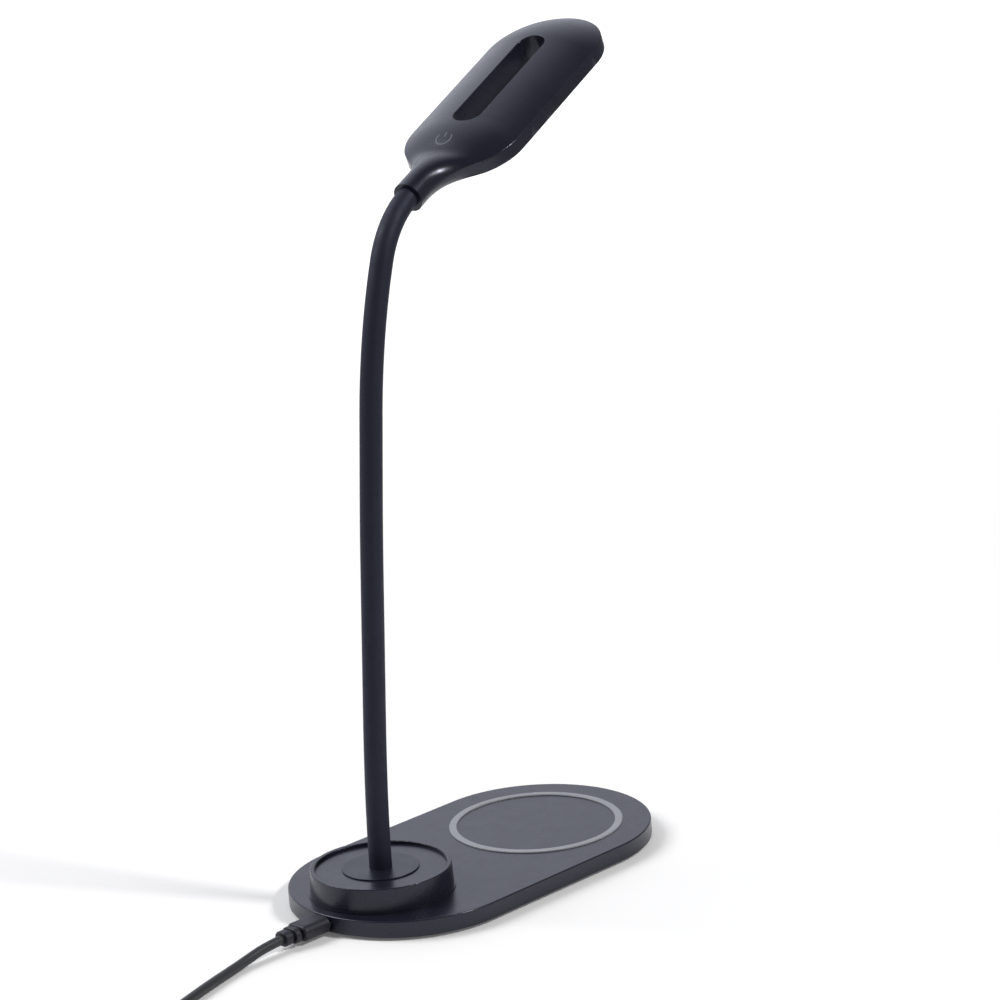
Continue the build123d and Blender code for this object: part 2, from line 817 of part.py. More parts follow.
# The rest of the head: one even section, and the far end turned from half of it
with BuildPart() as head_block:
    extrude(swell_section(swell_end).faces()[0], amount=head_straight / 2 - swell_end,
            dir=head_along)
    far_end = Plane(origin=head_centre + head_along * head_straight / 2, x_dir=head_along,
                    z_dir=head_up.cross(head_along) * -1)
    with BuildSketch(far_end):
        with BuildLine():
            rim = rim_corner(half_width, 0, dome_height)
            swing = radians(45) + atan2(rim[0][1] - dome_height + dome_radius, rim[0][0]) / 2
            ThreePointArc((0, dome_height), (dome_radius * cos(swing), dome_radius * sin(swing)
                                             - dome_radius + dome_height), rim[0])
            Bezier(*rim)
            Line(rim[2], (half_width, foot_round - head_side))
            Bezier((half_width, foot_round - head_side), (half_width, -head_side),
                   (half_width - foot_round, -head_side))
            Line((half_width - foot_round, -head_side), (0, -head_side))
            Line((0, -head_side), (0, dome_height))
        make_face()
    revolve(axis=Axis(far_end.origin, head_up))


def on_slot(edge):
    """Whether an edge of the head is round the slot's mouth in the dome."""
    middle = head_plane.to_local_coords(edge @ 0.5)
    past_end = abs(abs(middle.X) - slot_length / 2) < 0.2 and abs(middle.Y) < slot_width / 2
    past_side = abs(abs(middle.Y) - slot_width / 2) < 0.2 and abs(middle.X) < slot_length / 2
    return middle.Z > dome_height / 2 and (past_end or past_side)


# Space inside the shell, around the slot's own wall
with BuildPart() as head_cavity:
    with BuildSketch(head_level(-head_side)):
        head_outline(head_wall)
    extrude(amount=head_side)
    add(dome(dome_wall))
    with BuildSketch(head_level(-head_side)):
        head_outline(head_wall - ledge)
    extrude(amount=diffuser_thickness)
    with BuildSketch(head_level(-head_side)):
        slot_outline(slot_wall)
    extrude(amount=head_side + dome_height, mode=Mode.SUBTRACT)
    with BuildSketch(head_level(-head_side)):
        slot_outline(slot_wall)
        slot_outline(slot_wall - slot_ledge, mode=Mode.SUBTRACT)
    extrude(amount=diffuser_thickness)

with BuildPart() as head_shell:
    add(head_block.part)
    add(head_swell.part)
    add(head_cavity.part, mode=Mode.SUBTRACT)
    with BuildSketch(head_level(-head_side)):
        slot_outline(0)
    extrude(amount=head_side + 2 * dome_height, mode=Mode.SUBTRACT)
    fillet(head_shell.edges().filter_by(on_slot), slot_round)
    # Bosses for the LED board's screws
    with BuildSketch(head_level(led_board_top)):
        with GridLocations(2 * led_boss_x, 2 * led_boss_y, 2, 2):
            Circle(led_boss_radius)
    extrude(amount=led_boss_top - led_board_top)
    with BuildSketch(head_level(led_board_top)):
        with GridLocations(2 * led_boss_x, 2 * led_boss_y, 2, 2):
            Circle(led_screw_radius + screw_fit)
    extrude(amount=led_screw_length, mode=Mode.SUBTRACT)
    # Seats of the neck's sleeve and ferrule, and the hole for the wires
    for start, end, radius in (
        (0, seat_depth, sleeve_radius + seat_clearance),
        (seat_depth, seat_depth + neck_ferrule_body, neck_ferrule_radius + thread_fit),
        (seat_depth + neck_ferrule_body, seat_depth + neck_ferrule_length,
         neck_ferrule_nose_radius + thread_fit),
        (seat_depth + neck_ferrule_length, head_wire_hole_end, core_bore),
    ):
        with BuildSketch(head_section(start - collar_reach)):
            with Locations((0, collar_height)):
                Circle(radius)
        extrude(amount=end - start, mode=Mode.SUBTRACT)
    with BuildSketch(head_level(-head_side)):
        with Locations((grub_screw_x, 0)):
            Circle(grub_screw_radius + screw_fit)
    extrude(amount=collar_radius, mode=Mode.SUBTRACT)
write(head_shell, "head_shell")

with BuildPart() as head_diffuser:
    with BuildSketch(head_level(-head_side)):
        head_outline(head_wall - ledge + diffuser_gap)
        slot_outline(slot_wall - slot_ledge + diffuser_gap, mode=Mode.SUBTRACT)
    extrude(amount=diffuser_thickness)
write(head_diffuser, "head_diffuser")

with BuildPart() as led_board:
    with BuildSketch(head_level(led_board_top)):
        head_outline(head_wall + led_board_gap)
        slot_outline(slot_wall + led_board_gap, mode=Mode.SUBTRACT)
        with GridLocations(2 * led_boss_x, 2 * led_boss_y, 2, 2):
            Circle(led_screw_radius + screw_clearance, mode=Mode.SUBTRACT)
    extrude(amount=-led_board_thickness)
write(led_board, "led_board")

led_board_bottom = led_board_top - led_board_thickness
with BuildPart() as leds:
    with BuildSketch(head_level(led_board_bottom)):
        with GridLocations(led_pitch, 2 * led_row, leds_in_row, 2):
            Rectangle(led_size, led_size)
        with GridLocations(2 * led_end_x, 2 * led_end_y, 2, 2):
            Rectangle(led_size, led_size)
    extrude(amount=-led_height)
write(leds, "leds")

with BuildPart() as led_board_screws:
    with BuildSketch(head_level(led_board_bottom)):
        with GridLocations(2 * led_boss_x, 2 * led_boss_y, 2, 2):
            Circle(led_screw_head_radius)
    extrude(amount=-led_screw_head_height)
    with BuildSketch(head_level(led_board_bottom)):
        with GridLocations(2 * led_boss_x, 2 * led_boss_y, 2, 2):
            Circle(led_screw_radius)
    extrude(amount=led_screw_length)
write(led_board_screws, "led_board_screws")

with BuildPart() as touch_board:
    with BuildSketch(head_level(led_board_top)):
        with Locations((touch_x, 0)):
            Rectangle(touch_board_length, touch_board_width)
    extrude(amount=touch_board_thickness)
write(touch_board, "touch_board")

with BuildPart() as touch_pad:
    with BuildSketch(head_level(led_board_top + touch_board_thickness)):
        with Locations((touch_x, 0)):
            Circle(touch_pad_radius)
    extrude(amount=dome_height)
    add(dome(dome_wall), mode=Mode.INTERSECT)
write(touch_pad, "touch_pad")

with BuildPart() as neck_upper_ferrule:
    for start, end, radius in (
        (0, neck_ferrule_body, neck_ferrule_radius),
        (neck_ferrule_body, neck_ferrule_length, neck_ferrule_nose_radius),
    ):
        with BuildSketch(head_section(seat_depth + start - collar_reach)):
            with Locations((0, collar_height)):
                Circle(radius)
        extrude(amount=end - start)
    with BuildSketch(head_section(seat_depth - collar_reach)):
        with Locations((0, collar_height)):
            Circle(core_radius)
    extrude(amount=core_grip, mode=Mode.SUBTRACT)
    with BuildSketch(head_section(seat_depth - collar_reach)):
        with Locations((0, collar_height)):
            Circle(core_bore)
    extrude(amount=neck_ferrule_length, mode=Mode.SUBTRACT)
    with BuildSketch(head_level(-head_side)):
        with Locations((grub_screw_x, 0)):
            Circle(grub_screw_radius + screw_fit)
    extrude(amount=grub_screw_tip + head_side, mode=Mode.SUBTRACT)
write(neck_upper_ferrule, "neck_upper_ferrule")

with BuildPart() as neck_grub_screw:
    with BuildSketch(head_level(grub_screw_sunk - head_side)):
        with Locations((grub_screw_x, 0)):
            Circle(grub_screw_radius)
    extrude(amount=grub_screw_tip + head_side - grub_screw_sunk)
    with BuildSketch(head_level(grub_screw_sunk - head_side)):
        with Locations((grub_screw_x, 0)):
            RegularPolygon(grub_screw_key / 2, 6, major_radius=False)
    extrude(amount=grub_screw_key_depth, mode=Mode.SUBTRACT)
write(neck_grub_screw, "neck_grub_screw")

# ---------------------------------------------------------------- Lead's plug
plug_face = near_end - plug_gap
plug_back = plug_face - plug_length
with BuildPart() as plug_tip:
    with BuildSketch(Plane.YZ.offset(plug_face)):
        with Locations((0, socket_z)):
            SlotOverall(tip_width, tip_height)
            SlotOverall(tip_width - 2 * tip_wall, tip_height - 2 * tip_wall, mode=Mode.SUBTRACT)
    extrude(amount=tip_length)
    fillet(plug_tip.faces().sort_by(Axis.X)[-1].outer_wire().edges(), tip_wall * 0.5)
write(plug_tip, "plug_tip")

with BuildPart() as plug_overmould:
    with BuildSketch(Plane.YZ.offset(plug_back)):
        with Locations((0, socket_z)):
            RectangleRounded(plug_width, plug_height, plug_height * 0.46)
    extrude(amount=plug_length)
    fillet(plug_overmould.faces().sort_by(Axis.X)[-1].edges(), plug_face_round)
    fillet(plug_overmould.faces().sort_by(Axis.X)[0].edges(), plug_back_round)
write(plug_overmould, "plug_overmould")


def relief_oval(start, length, width, height, round_by=0):
    """A length of the strain relief with an oval section, measured back from the plug."""
    with BuildPart() as oval:
        with BuildSketch(Plane.YZ.offset(plug_back - start - length)):
            with Locations((0, socket_z)):
                SlotOverall(width, height)
        extrude(amount=length)
        if round_by:
            fillet(oval.edges().filter_by(Axis.X, reverse=True), round_by)
    return oval.part


lead_bore = lead_diameter / 2 + 0.02
relief_small_start = 2 * relief_groove + relief_big_length
with BuildPart() as plug_relief:
    add(relief_oval(0, relief_length - relief_round, relief_neck_width, relief_neck_height))
    add(relief_oval(relief_groove, relief_big_length, relief_big_width, relief_big_height,
                    relief_round))
    add(relief_oval(relief_small_start, relief_length - relief_small_start,
                    relief_small_width, relief_small_height, relief_round))
    with BuildSketch(Plane.YZ.offset(plug_back - relief_length)):
        with Locations((0, socket_z)):
            Circle(lead_bore)
    extrude(amount=relief_length, mode=Mode.SUBTRACT)
write(plug_relief, "plug_relief")

# ---------------------------------------------------------------- Lead
# The lead lies on the same surface as the lamp, and what isn't needed is wound up.


def runs(points):
    """Bend radii at the corners of a lead's line."""
    steps = [Vector(*b) - Vector(*a) for a, b in zip(points, points[1:])]
    radii = []
    for before, after in zip(steps, steps[1:]):
        turn = radians(before.get_angle(after))
        radii.append(0.45 * min(before.length, after.length) / tan(turn / 2))
    return radii


lead_points = (
    (plug_back, 0, socket_z),
    (-57.0, 0, socket_z),
    (-72.0, -1.0, lead_diameter / 2),
    (-92.0, -6.0, lead_diameter / 2),
    (-118.0, -14.2, lead_diameter / 2 + 0.05),
    (-143.9, -23.0, wound_z),
)
lead_radii = runs(lead_points)
print("lead radii", [round(r, 1) for r in lead_radii])
with BuildPart() as cord_lead:
    with BuildLine() as run:
        FilletPolyline(*lead_points, radius=lead_radii)
    with BuildSketch(Plane(origin=lead_points[0], z_dir=(-1, 0, 0))):
        Circle(lead_diameter / 2)
    sweep(path=run.wires()[0])
write(cord_lead, "cord_lead")
print("lead length", round(run.wires()[0].length, 1))
arrival = Vector(*lead_points[-1]) - Vector(*lead_points[-2])
arrival = Vector(arrival.X, arrival.Y, 0).normalized()
wound_centre = Vector(*lead_points[-1]) + Vector(-arrival.Y, arrival.X, 0) * outer_turn
wound_axis = Axis((wound_centre.X, wound_centre.Y, 0), (0, 0, 1))
print("wound centre", wound_centre, "outer turn", outer_turn)


def wound_section(angle):
    """The upright plane through the wound lead at an angle, x outwards and y up."""
    out = Vector(cos(radians(angle)), sin(radians(angle)), 0)
    return Plane(origin=(wound_centre.X, wound_centre.Y, 0), x_dir=out,
                 z_dir=(out.Y, -out.X, 0))


with BuildPart() as cord_coil:
    with BuildSketch(wound_section(0)):
        with Locations(*turn_places):
            Circle(lead_diameter / 2)
        with BuildLine():
            Polyline(turn_places[0], turn_places[coil_across - 1], turn_places[-1],
                     turn_places[coil_across], close=True)
        make_face()
    revolve(axis=wound_axis)
write(cord_coil, "cord_coil")
print("wound length", round(sum(2 * pi * place[0] for place in turn_places), 1))

with BuildPart() as cord_tie:
    low = turn_places[0][0] - lead_diameter / 2 - tie_gap
    high = turn_places[coil_across - 1][0] + lead_diameter / 2 + tie_gap
    top = turn_places[-1][1] + lead_diameter / 2 + tie_gap
    with BuildSketch(wound_section(tie_angle)):
        with BuildLine():
            Polyline((low - tie_thickness, 0), (high + tie_thickness, 0),
                     (high + tie_thickness, top + tie_thickness),
                     (low - tie_thickness, top + tie_thickness), close=True)
        make_face()
        with BuildLine():
            Polyline((low, tie_thickness - tie_gap), (high, tie_thickness - tie_gap),
                     (high, top), (low, top), close=True)
        make_face(mode=Mode.SUBTRACT)
    revolve(axis=wound_axis, revolution_arc=degrees(tie_width / coil_turn_radius))
write(cord_tie, "cord_tie")

# The tail leaves the upper turns and ends in the plug for the supply
tail_out = Vector(cos(radians(tail_angle)), sin(radians(tail_angle)), 0)
tail_along = Vector(-tail_out.Y, tail_out.X, 0)
tail_start = Vector(wound_centre.X, wound_centre.Y, turn_places[-1][1]) + tail_out * turn_places[-1][0]
far_axis_z = far_plug_height / 2
tail_middle = tail_start + tail_along * tail_step
tail_middle = Vector(tail_middle.X, tail_middle.Y, far_axis_z)
far_turn = radians(tail_turn)
far_along = Vector(tail_along.X * cos(far_turn) - tail_along.Y * sin(far_turn),
                   tail_along.X * sin(far_turn) + tail_along.Y * cos(far_turn), 0)
tail_end = tail_middle + far_along * (tail_step + far_relief_length)
tail_points = (tuple(tail_start), tuple(tail_middle), tuple(tail_end))
tail_radii = runs(tail_points)
print("tail radii", [round(r, 1) for r in tail_radii])
print("tail points", [tuple(round(v, 2) for v in p) for p in tail_points])
with BuildPart() as cord_tail:
    with BuildLine() as run:
        FilletPolyline(*tail_points, radius=tail_radii)
    with BuildSketch(Plane(origin=tail_points[0], z_dir=tail_middle - tail_start)):
        Circle(lead_diameter / 2)
    sweep(path=run.wires()[0])
write(cord_tail, "cord_tail")
print("tail length", round(run.wires()[0].length, 1))

far_side = Vector(-far_along.Y, far_along.X, 0)


def far_section(distance):
    """The plane across the far plug at a distance beyond the lead's end, with y up."""
    return Plane(origin=tail_end + far_along * distance, x_dir=far_side, z_dir=far_along)


def relief_outline(length, big, small, rib, ribs, bore):
    """Half of a strain relief's section: x along it from the plug, y outwards."""
    points = [(0, bore), (0, big)]
    step = length / (2 * ribs + 1)
    for spot in range(1, 2 * ribs + 1):
        here = big + (small - big) * spot / (2 * ribs + 1)
        if spot % 2 == 1:
            points += [(step * spot, here), (step * spot, here - rib)]
        else:
            points += [(step * spot, here - rib), (step * spot, here)]
    points += [(length, small), (length, bore)]
    Polyline(*points, close=True)


with BuildPart() as far_plug_relief:
    with BuildSketch(Plane(origin=tail_end, x_dir=far_along * -1, z_dir=far_side * -1)):
        with BuildLine():
            relief_outline(far_relief_length, far_relief_radius, far_relief_tip_radius,
                           far_relief_rib, far_relief_ribs, lead_bore)
        make_face()
    revolve(axis=Axis(tail_end, far_along))
write(far_plug_relief, "far_plug_relief")

with BuildPart() as far_plug_overmould:
    with BuildSketch(far_section(0)):
        RectangleRounded(far_plug_width, far_plug_height, far_plug_corner)
    extrude(amount=far_plug_length)
    fillet(far_plug_overmould.edges(), 0.6)
    with BuildSketch(far_section(far_plug_length - far_shell_insert)):
        Rectangle(far_shell_width + 0.04, far_shell_height + 0.04)
    extrude(amount=far_shell_insert, mode=Mode.SUBTRACT)
write(far_plug_overmould, "far_plug_overmould")

with BuildPart() as far_plug_shell:
    with BuildSketch(far_section(far_plug_length - far_shell_insert)):
        Rectangle(far_shell_width, far_shell_height)
        Rectangle(far_shell_width - 2 * far_shell_wall, far_shell_height - 2 * far_shell_wall,
                  mode=Mode.SUBTRACT)
    extrude(amount=far_shell_length)
write(far_plug_shell, "far_plug_shell")

with BuildPart() as far_plug_tongue:
    inside = far_shell_height - 2 * far_shell_wall
    with BuildSketch(far_section(far_plug_length - far_shell_insert)):
        with Locations((0, (inside - far_tongue_thickness) / 2)):
            Rectangle(far_shell_width - 2 * far_shell_wall - 0.1, far_tongue_thickness)
    extrude(amount=far_shell_length - 1.0)
write(far_plug_tongue, "far_plug_tongue")
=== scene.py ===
import json
from math import cos, pi, radians, sin, sqrt

import bpy
from mathutils import Euler, Matrix, Vector
from mathutils.bvhtree import BVHTree


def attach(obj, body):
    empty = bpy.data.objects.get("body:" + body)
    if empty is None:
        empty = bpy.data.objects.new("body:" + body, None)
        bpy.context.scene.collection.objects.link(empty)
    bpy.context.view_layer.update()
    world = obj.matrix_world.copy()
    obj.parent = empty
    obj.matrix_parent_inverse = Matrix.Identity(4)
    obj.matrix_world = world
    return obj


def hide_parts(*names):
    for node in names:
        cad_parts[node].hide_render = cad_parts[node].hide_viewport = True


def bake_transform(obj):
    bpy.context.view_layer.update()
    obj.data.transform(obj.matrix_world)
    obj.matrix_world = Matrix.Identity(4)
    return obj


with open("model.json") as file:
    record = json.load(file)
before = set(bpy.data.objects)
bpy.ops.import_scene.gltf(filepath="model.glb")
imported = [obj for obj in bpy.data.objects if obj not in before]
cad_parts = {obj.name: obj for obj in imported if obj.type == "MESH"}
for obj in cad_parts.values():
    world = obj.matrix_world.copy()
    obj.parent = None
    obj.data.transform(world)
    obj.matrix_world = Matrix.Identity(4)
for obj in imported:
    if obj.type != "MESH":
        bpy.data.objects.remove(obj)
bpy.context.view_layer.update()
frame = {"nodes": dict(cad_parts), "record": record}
nodes = frame["nodes"]
scene = bpy.context.scene
MM = 0.001

# Sizes in millimetres, as the lamp's maker would write them
deck_top = 15.3
cavity_top = 5.9
neck_pitch = 27.58
neck_turns = (3.5, 2.1, 0, 0, 1.4, 0, 6.9, 7.8, 45.2)
neck_heading = 10.5
sleeve_radius = 4.15
sleeve_bore = 2.62
core_grip = 5.3
seat_depth = 9.0
wire_diameter = 1.0
wire_pitch = 1.08
head_length = 105.3
head_width = 46.6
head_side = 5.14
collar_radius = 5.7
collar_reach = 71.8
lead_diameter = 3.6
floor_lift = 0.09
far_floor_lift = 0.75


# ------------------------------------------------------------------ Camera
def place_camera():
    """The camera looks down on the lamp from in front of the plug's end."""
    lens = bpy.data.cameras.new("lamp_camera")
    lens.lens = 126
    lens.sensor_width = 36
    lens.clip_start = 0.05
    lens.clip_end = 30
    camera = bpy.data.objects.new("lamp_camera", lens)
    camera.location = (-0.81698, -0.87251, 0.46111)
    camera.rotation_euler = Euler((radians(75.3456), radians(3.6553), radians(-46.5582)), "XYZ")
    scene.collection.objects.link(camera)
    scene.camera = camera


place_camera()
scene.view_settings.view_transform = "Standard"


# ------------------------------------------------------------------ Small helpers
def link(piece):
    scene.collection.objects.link(piece)
    return piece


def smooth(mesh, angle=None):
    """Smooth shading, with sharp edges where the surface turns by more than the angle."""
    mesh.polygons.foreach_set("use_smooth", [True] * len(mesh.polygons))
    if angle is not None:
        mesh.set_sharp_from_angle(angle=radians(angle))
    mesh.update()


def in_metres(*places):
    return [Vector(place) * MM for place in places]


def mesh_piece(name, points, faces, finish):
    """A piece from its points in metres and its faces."""
    mesh = bpy.data.meshes.new(name)
    mesh.from_pydata([tuple(point) for point in points], [], faces)
    mesh.materials.append(finish)
    smooth(mesh)
    return link(bpy.data.objects.new(name, mesh))


# ------------------------------------------------------------------ Materials
def new_finish(name):
    """An empty material with its output and its main shader."""
    finish = bpy.data.materials.new(name)
    finish.use_nodes = True
    tree = finish.node_tree
    tree.nodes.clear()
    output = tree.nodes.new("ShaderNodeOutputMaterial")
    output.location = (600, 0)
    skin = tree.nodes.new("ShaderNodeBsdfPrincipled")
    skin.location = (300, 0)
    tree.links.new(skin.outputs["BSDF"], output.inputs["Surface"])
    return finish, tree, skin


def place_of(tree, scale=(1, 1, 1)):
    """The place on the piece, in metres, stretched by scale."""
    where = tree.nodes.new("ShaderNodeTexCoord")
    where.location = (-1100, 0)
    stretch = tree.nodes.new("ShaderNodeMapping")
    stretch.location = (-900, 0)
    stretch.inputs["Scale"].default_value = scale
    tree.links.new(where.outputs["Object"], stretch.inputs["Vector"])
    return stretch.outputs["Vector"]


def grain(tree, where, size, detail=2.0, roughness=0.5, spot=(-700, 0)):
    """Fine noise whose grains are about size across, in metres."""
    noise = tree.nodes.new("ShaderNodeTexNoise")
    noise.location = spot
    noise.inputs["Scale"].default_value = 1 / size
    noise.inputs["Detail"].default_value = detail
    noise.inputs["Roughness"].default_value = roughness
    tree.links.new(where, noise.inputs["Vector"])
    return noise.outputs["Fac"]


def ramp(tree, value, low, high, spot=(-450, 0)):
    """Turns noise from 0.3 to 0.7 into numbers or colours from low to high."""
    if isinstance(low, (int, float)):
        change = tree.nodes.new("ShaderNodeMapRange")
        change.inputs["From Min"].default_value = 0.3
        change.inputs["From Max"].default_value = 0.7
        change.inputs["To Min"].default_value = low
        change.inputs["To Max"].default_value = high
        tree.links.new(value, change.inputs["Value"])
        out = change.outputs["Result"]
    else:
        change = tree.nodes.new("ShaderNodeValToRGB")
        change.color_ramp.elements[0].position = 0.3
        change.color_ramp.elements[0].color = (*low, 1)
        change.color_ramp.elements[1].position = 0.7
        change.color_ramp.elements[1].color = (*high, 1)
        tree.links.new(value, change.inputs["Fac"])
        out = change.outputs["Color"]
    change.location = spot
    return out


def bump(tree, skin, value, strength, distance, before=None, spot=(50, -300)):
    """Raises the surface by value times distance, in metres."""
    relief = tree.nodes.new("ShaderNodeBump")
    relief.location = spot
    relief.inputs["Strength"].default_value = strength
    relief.inputs["Distance"].default_value = distance
    tree.links.new(value, relief.inputs["Height"])
    if before is not None:
        tree.links.new(before, relief.inputs["Normal"])
    tree.links.new(relief.outputs["Normal"], skin.inputs["Normal"])
    return relief.outputs["Normal"]


def moulded(name, dark, light, matt, shiny, texture=0.00035, depth=0.00002, coat=0.0,
            tint=(1, 1, 1)):
    """Moulded plastic: spark-eroded grain, faint cloudiness and uneven gloss."""
    finish, tree, skin = new_finish(name)
    skin.inputs["Specular Tint"].default_value = (*tint, 1)
    where = place_of(tree)
    cloud = grain(tree, where, 0.02, 3, spot=(-700, 250))
    tree.links.new(ramp(tree, cloud, dark, light, (-450, 250)), skin.inputs["Base Color"])
    tree.links.new(ramp(tree, grain(tree, where, 0.006, 4, spot=(-700, 0)), shiny, matt,
                        (-450, 0)), skin.inputs["Roughness"])
    bump(tree, skin, grain(tree, where, texture, 3, spot=(-700, -250)), 0.5, depth)
    if coat:
        skin.inputs["Coat Weight"].default_value = coat
        skin.inputs["Coat Roughness"].default_value = 0.25
    return finish


def metal(name, dark, light, rough, stretch=(1, 1, 1), size=0.0006):
    """Turned or drawn metal with fine marks."""
    finish, tree, skin = new_finish(name)
    where = place_of(tree, stretch)
    marks = grain(tree, where, size, 3)
    tree.links.new(ramp(tree, marks, dark, light, (-450, 250)), skin.inputs["Base Color"])
    tree.links.new(ramp(tree, marks, rough - 0.06, rough + 0.08), skin.inputs["Roughness"])
    skin.inputs["Metallic"].default_value = 1
    bump(tree, skin, marks, 0.35, 0.00001)
    return finish


def rubber(name, dark, light, matt, texture, depth, sheen=0.15, tint=(1, 1, 1)):
    """Soft rubber with a dusty bloom."""
    finish, tree, skin = new_finish(name)
    skin.inputs["Specular Tint"].default_value = (*tint, 1)
    where = place_of(tree)
    tree.links.new(ramp(tree, grain(tree, where, 0.012, 3, spot=(-700, 250)), dark, light,
                        (-450, 250)), skin.inputs["Base Color"])
    tree.links.new(ramp(tree, grain(tree, where, 0.004, 3), matt - 0.06, matt + 0.06),
                   skin.inputs["Roughness"])
    bump(tree, skin, grain(tree, where, texture, 2, spot=(-700, -250)), 0.5, depth)
    skin.inputs["Sheen Weight"].default_value = sheen
    skin.inputs["Sheen Roughness"].default_value = 0.5
    return finish


finishes = {
    "navy_plastic": moulded("navy_moulded_plastic", (0.0095, 0.0100, 0.0185),
                            (0.0115, 0.0122, 0.0215), 0.29, 0.24, depth=0.00003,
                            tint=(0.84, 0.87, 1)),
    "black_plastic": moulded("black_moulded_plastic", (0.010, 0.010, 0.013),
                             (0.013, 0.013, 0.016), 0.5, 0.4),
    "disc_black": moulded("disc_plastic", (0.0070, 0.0078, 0.0150),
                          (0.0085, 0.0095, 0.0175), 0.36, 0.30, tint=(0.72, 0.78, 0.94)),
    "pad_rubber": rubber("pad_rubber", (0.012, 0.012, 0.014), (0.018, 0.018, 0.021), 0.85,
                         0.0007, 0.00006),
    "sleeve_rubber": rubber("neck_sleeve_rubber", (0.0095, 0.0105, 0.0205),
                            (0.0115, 0.0125, 0.0235), 0.60, 0.0004, 0.00002, 0.0,
                            (0.62, 0.66, 0.84)),
    "core_steel": metal("spring_steel", (0.42, 0.42, 0.43), (0.56, 0.56, 0.57), 0.3),
    "ballast_steel": metal("ballast_steel", (0.30, 0.30, 0.31), (0.42, 0.42, 0.43), 0.42),
    "screw_steel": metal("blacked_screw_steel", (0.10, 0.10, 0.11), (0.16, 0.16, 0.17), 0.35),
    "plated_steel": metal("nickel_plate", (0.60, 0.59, 0.56), (0.70, 0.69, 0.66), 0.24),
    "ferrule_brass": metal("turned_brass", (0.58, 0.42, 0.19), (0.68, 0.50, 0.24), 0.3),
    "ring_plastic": moulded("ring_light_plastic", (0.25, 0.26, 0.28), (0.29, 0.30, 0.32),
                            0.5, 0.42),
    "coil_copper": metal("enamelled_copper", (0.62, 0.27, 0.12), (0.74, 0.36, 0.17), 0.32),
    "ferrite": moulded("ferrite_sheet", (0.030, 0.030, 0.032), (0.045, 0.045, 0.048), 0.6, 0.5),
    "board_green": moulded("green_board", (0.008, 0.070, 0.028), (0.012, 0.090, 0.038), 0.4,
                           0.32, coat=0.4),
    "board_white": moulded("white_board", (0.72, 0.72, 0.70), (0.78, 0.78, 0.76), 0.45, 0.35),
    "chip_black": moulded("chip_resin", (0.012, 0.012, 0.013), (0.018, 0.018, 0.019), 0.6, 0.5),
    "tongue_white": moulded("tongue_plastic", (0.66, 0.66, 0.64), (0.72, 0.72, 0.70), 0.4, 0.3),
    "led_yellow": moulded("led_phosphor", (0.75, 0.52, 0.08), (0.85, 0.62, 0.12), 0.45, 0.35),
    "diffuser_opal": moulded("opal_diffuser", (0.80, 0.80, 0.78), (0.84, 0.84, 0.82), 0.38,
                             0.3),
    "foam_grey": rubber("pad_foam", (0.10, 0.10, 0.11), (0.15, 0.15, 0.16), 0.9, 0.0005,
                        0.00008),
    "plug_plastic": moulded("plug_soft_plastic", (0.0115, 0.0115, 0.0165),
                            (0.0140, 0.0140, 0.0195), 0.52, 0.44, 0.0004, 0.00003,
                            tint=(0.88, 0.88, 1)),
    "lead_rubber": moulded("lead_jacket", (0.0220, 0.0230, 0.0270), (0.0260, 0.0275, 0.0320),
                           0.52, 0.42, 0.0005, 0.00002),
    "tie_black": rubber("tie_weave", (0.012, 0.012, 0.013), (0.020, 0.020, 0.022), 0.85,
                        0.0004, 0.00010),
}
symbol_print = moulded("symbol_print", (0.125, 0.140, 0.170), (0.145, 0.160, 0.195), 0.6, 0.5)


def dress_nodes():
    """Gives each carried-over node the finish of its slot in the record."""
    for part in frame["record"]["subparts"]:
        mesh = nodes[part["node"]].data
        mesh.materials.clear()
        mesh.materials.append(finishes[part["material_slot"]])


dress_nodes()


# ------------------------------------------------------------------ Lead
lead_route = (
    (-43.2, 0, 4.2), (-57, 0, 4.2), (-72, -1, 1.8), (-92, -6, 1.8), (-118, -14.2, 1.85),
    (-143.9, -23, 2.4),
)
tail_route = ((-155.04, -60.49, 5.47), (-143.57, -76.87, 3.8), (-117.26, -86.45, 3.8))
wound_middle = (-135.753, -46.979)
wound_start = 108.8
turns_below = (25.325, 21.775, 18.225, 14.675)
turns_above = (16.45, 20.0, 23.55)
low_turn, high_turn = 2.4, 5.474
points_per_turn = 16


def wound_route():
    """The turns of the wound lead: inwards below, then outwards on top."""
    swell = 1 / (0.75 + 0.25 * cos(2 * pi / points_per_turn))
    places = []
    leave = 215 + 360
    count = points_per_turn
    below = len(turns_below)
    for turn in range(below):
        for step in range(count):
            share = step / count
            if turn == 0 and step < 1:
                continue
            angle = wound_start + 360 * (turn + share)
            inner = turns_below[turn + 1] if turn + 1 < below else turns_above[0]
            ease = max((share - 0.8) / 0.2, 0)
            radius = turns_below[turn] + (inner - turns_below[turn]) * ease
            height = low_turn + (high_turn - low_turn) * ease * (turn + 1 == below)
            places.append((angle, radius, height))
    last = wound_start + 360 * below
    finish = last + 360 * len(turns_above) - (wound_start - 215) % 360
    steps = int((finish - last) / (360 / count))
    for step in range(steps + 1):
        angle = last + step * 360 / count
        turn = min(int((angle - last) / 360), len(turns_above) - 1)
        share = (angle - last) / 360 - turn
        outer = turns_above[min(turn + 1, len(turns_above) - 1)]
        radius = turns_above[turn] + (outer - turns_above[turn]) * max((share - 0.8) / 0.2, 0)
        places.append((angle, radius, high_turn))
    return [(wound_middle[0] + radius * swell * cos(radians(angle)),
             wound_middle[1] + radius * swell * sin(radians(angle)), height)
            for angle, radius, height in places]


